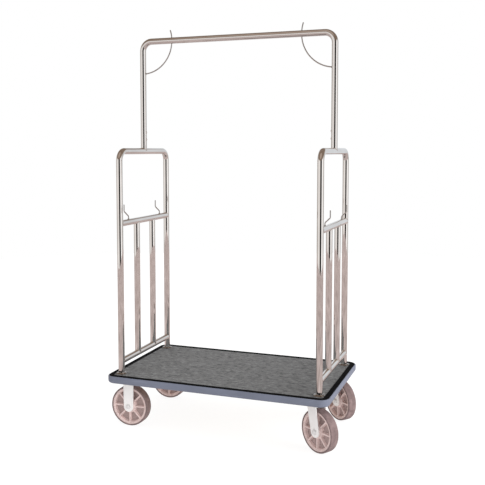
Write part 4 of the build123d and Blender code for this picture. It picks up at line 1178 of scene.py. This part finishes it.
class CART_OT_stage(bpy.types.Operator):
    """Pale floor, soft room light and the camera"""
    bl_idname = "cart.stage"
    bl_label = "Stage"

    def execute(self, context):
        stage = context.scene.cart_stage
        self.floor(stage)
        self.room(context.scene, stage)
        self.lamps(stage)
        self.camera(context.scene, stage)
        return {"FINISHED"}

    def floor(self, stage):
        bm = bmesh.new()
        bmesh.ops.create_circle(bm, cap_ends=True, radius=stage.floor_size, segments=96)
        mesh = bpy.data.meshes.new("floor")
        bm.to_mesh(mesh)
        bm.free()
        floor = bpy.data.objects.new("floor", mesh)
        finish = Finish("floor_paper", 0.9, 0.0, Specular_IOR_Level=0.05, Emission_Strength=stage.glow)
        shade = tinted((1.0, 1.0, 1.0), stage.floor)
        paper = finish.mix(finish.noise(0.7), tinted(shade, 0.985), shade)
        dusk = finish.mix(finish.ramp(finish.noise(2.2), 0.35, 0.65), (0.36, 0.285, 0.27), (0.78, 0.67, 0.65))
        seen = finish.add("LightPath").outputs["Is Glossy Ray"]
        finish.paint(finish.mix(seen, paper, tinted(shade, 0.2)))
        finish.link(finish.mix(seen, (1.0, 1.0, 1.0), dusk), finish.shader.inputs["Emission Color"])
        one_sided = finish.add("MixShader")
        below = finish.add("NewGeometry").outputs["Backfacing"]
        clear = finish.add("BsdfTransparent").outputs["BSDF"]
        finish.feed(one_sided.inputs, (below, finish.shader.outputs["BSDF"], clear))
        finish.link(one_sided.outputs["Shader"], finish.tree.nodes["Material Output"].inputs["Surface"])
        mesh.materials.append(finish.material)
        bpy.context.scene.collection.objects.link(floor)

    # brightness of the walls that polished metal shows, round from -X through -Y, +X and +Y
    WALLS = [
        (0.000, 0.62), (0.030, 0.25), (0.050, 0.80), (0.110, 0.92), (0.190, 0.85), (0.250, 0.80),
        (0.256, 0.005), (0.384, 0.005), (0.394, 0.95), (0.430, 1.12), (0.500, 1.05), (0.575, 0.66),
        (0.600, 0.12), (0.625, 0.60), (0.680, 0.70), (0.760, 0.74), (0.840, 0.70), (0.900, 0.62),
        (0.930, 0.10), (0.955, 0.66), (0.985, 0.66),
    ]
    COOL_WALL = (0.65, 0.87)
    CEILING = (0.235, 0.175, 0.135)
    CEILING_LAMP = (0.430, 0.345, 0.290)

    def room(self, scene, stage):
        """A white room with a few dim walls that polished metal can show, plain white to the eye."""
        world = bpy.data.worlds.new("studio")
        world.use_nodes = True
        scene.world = world
        world.node_tree.nodes.clear()
        nodes = Nodes(world.node_tree, None)
        split = nodes.add("SeparateXYZ")
        nodes.link(nodes.add("TexCoord").outputs["Generated"], split.inputs["Vector"])
        x, y, z = split.outputs
        walls = nodes.add("ValToRGB")
        round_room = nodes.ramp(nodes.maths("ARCTAN2", y, x), -math.pi, math.pi)
        nodes.link(round_room, walls.inputs["Fac"])
        self.paint_walls(walls.color_ramp)
        toward_lamp = nodes.maths("MULTIPLY_ADD", z, 0.8, nodes.maths("MULTIPLY", y, -0.6))
        ceiling = nodes.mix(nodes.ramp(toward_lamp, 0.86, 0.91), self.CEILING, self.CEILING_LAMP)
        height = nodes.maths("MULTIPLY_ADD", y, -0.10, z)
        reflected = nodes.add("Background")
        nodes.link(
            nodes.mix(nodes.ramp(height, 0.27, 0.42), walls.outputs["Color"], ceiling),
            reflected.inputs["Color"],
        )
        soft = nodes.add("Background")
        nodes.link(nodes.ramp(x, -1.0, 1.0, 0.86, 1.14), soft.inputs["Color"])
        soft.inputs["Strength"].default_value = stage.light
        plain = nodes.add("Background")
        plain.inputs["Color"].default_value = (1.0, 1.0, 1.0, 1.0)
        seen = nodes.add("LightPath")
        shown = reflected.outputs[0]
        for ray, source in (("Is Diffuse Ray", soft), ("Is Camera Ray", plain)):
            choose = nodes.add("MixShader")
            nodes.feed(choose.inputs, (seen.outputs[ray], shown, source.outputs[0]))
            shown = choose.outputs[0]
        nodes.link(shown, nodes.add("OutputWorld").inputs["Surface"])
        scene.view_settings.view_transform = "Standard"

    def paint_walls(self, ramp):
        """Dim walls turn a little warm, and the far wall a little cool."""
        while len(ramp.elements) < len(self.WALLS):
            ramp.elements.new(0.5)
        cool_from, cool_to = self.COOL_WALL
        for element, (spot, value) in zip(ramp.elements, self.WALLS):
            element.position = spot
            fall = 1.04 if cool_from < spot < cool_to else 1.0 - 0.16 * (1.0 - min(value, 1.0))
            element.color = (value, value * fall, value * fall * fall, 1.0)

    def lamps(self, stage):
        """One broad soft sun from the right."""
        sun = bpy.data.lights.new("sun", "SUN")
        sun.energy = stage.sun
        sun.angle = math.radians(50)
        holder = bpy.data.objects.new("sun", sun)
        holder.visible_glossy = False
        holder.rotation_euler = Vector((-0.95, 0.05, -0.28)).to_track_quat("-Z", "Y").to_euler()
        bpy.context.scene.collection.objects.link(holder)

    def camera(self, scene, stage):
        lens = bpy.data.cameras.new("camera")
        lens.lens = stage.lens
        lens.sensor_width = 36.0
        lens.shift_y = stage.shift
        lens.dof.use_dof = False
        lens.clip_end = 60.0
        eye = bpy.data.objects.new("camera", lens)
        eye.location = stage.camera_at
        eye.rotation_euler = (math.pi / 2 + stage.camera_pitch, 0.0, stage.camera_yaw)
        scene.collection.objects.link(eye)
        scene.camera = eye


# ---- add-on ----------------------------------------------------------------------------------

OPERATORS = (
    CART_OT_carpet, CART_OT_moulding, CART_OT_bumper, CART_OT_frames, CART_OT_hanger, CART_OT_hooks,
    CART_OT_flanges, CART_OT_hanger_screws, CART_OT_wheels, CART_OT_forks, CART_OT_undercarriage,
    CART_OT_stage,
)


class CART_PT_panel(bpy.types.Panel):
    """Lists the cart's sizes, colours and pieces"""
    bl_idname = "CART_PT_panel"
    bl_label = "Luggage cart"
    bl_space_type = "VIEW_3D"
    bl_region_type = "UI"
    bl_category = "Luggage cart"

    def draw(self, context):
        for group in (context.scene.cart_sizes, context.scene.cart_colours, context.scene.cart_stage):
            for name in group.__annotations__:
                self.layout.prop(group, name)
        for operator in OPERATORS:
            self.layout.operator(operator.bl_idname)


GROUPS = {"cart_sizes": CartSizes, "cart_colours": CartColours, "cart_stage": CartStage}


def register():
    for group in GROUPS.values():
        bpy.utils.register_class(group)
    for operator in (*OPERATORS, CART_PT_panel):
        bpy.utils.register_class(operator)
    for name, group in GROUPS.items():
        setattr(bpy.types.Scene, name, bpy.props.PointerProperty(type=group))


def unregister():
    for name in GROUPS:
        delattr(bpy.types.Scene, name)
    for entry in (CART_PT_panel, *reversed(OPERATORS), *GROUPS.values()):
        bpy.utils.unregister_class(entry)


def main():
    register()
    for operator in OPERATORS:
        family, name = operator.bl_idname.split(".")
        getattr(getattr(bpy.ops, family), name)()
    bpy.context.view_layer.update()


if __name__ == "__main__":
    main()
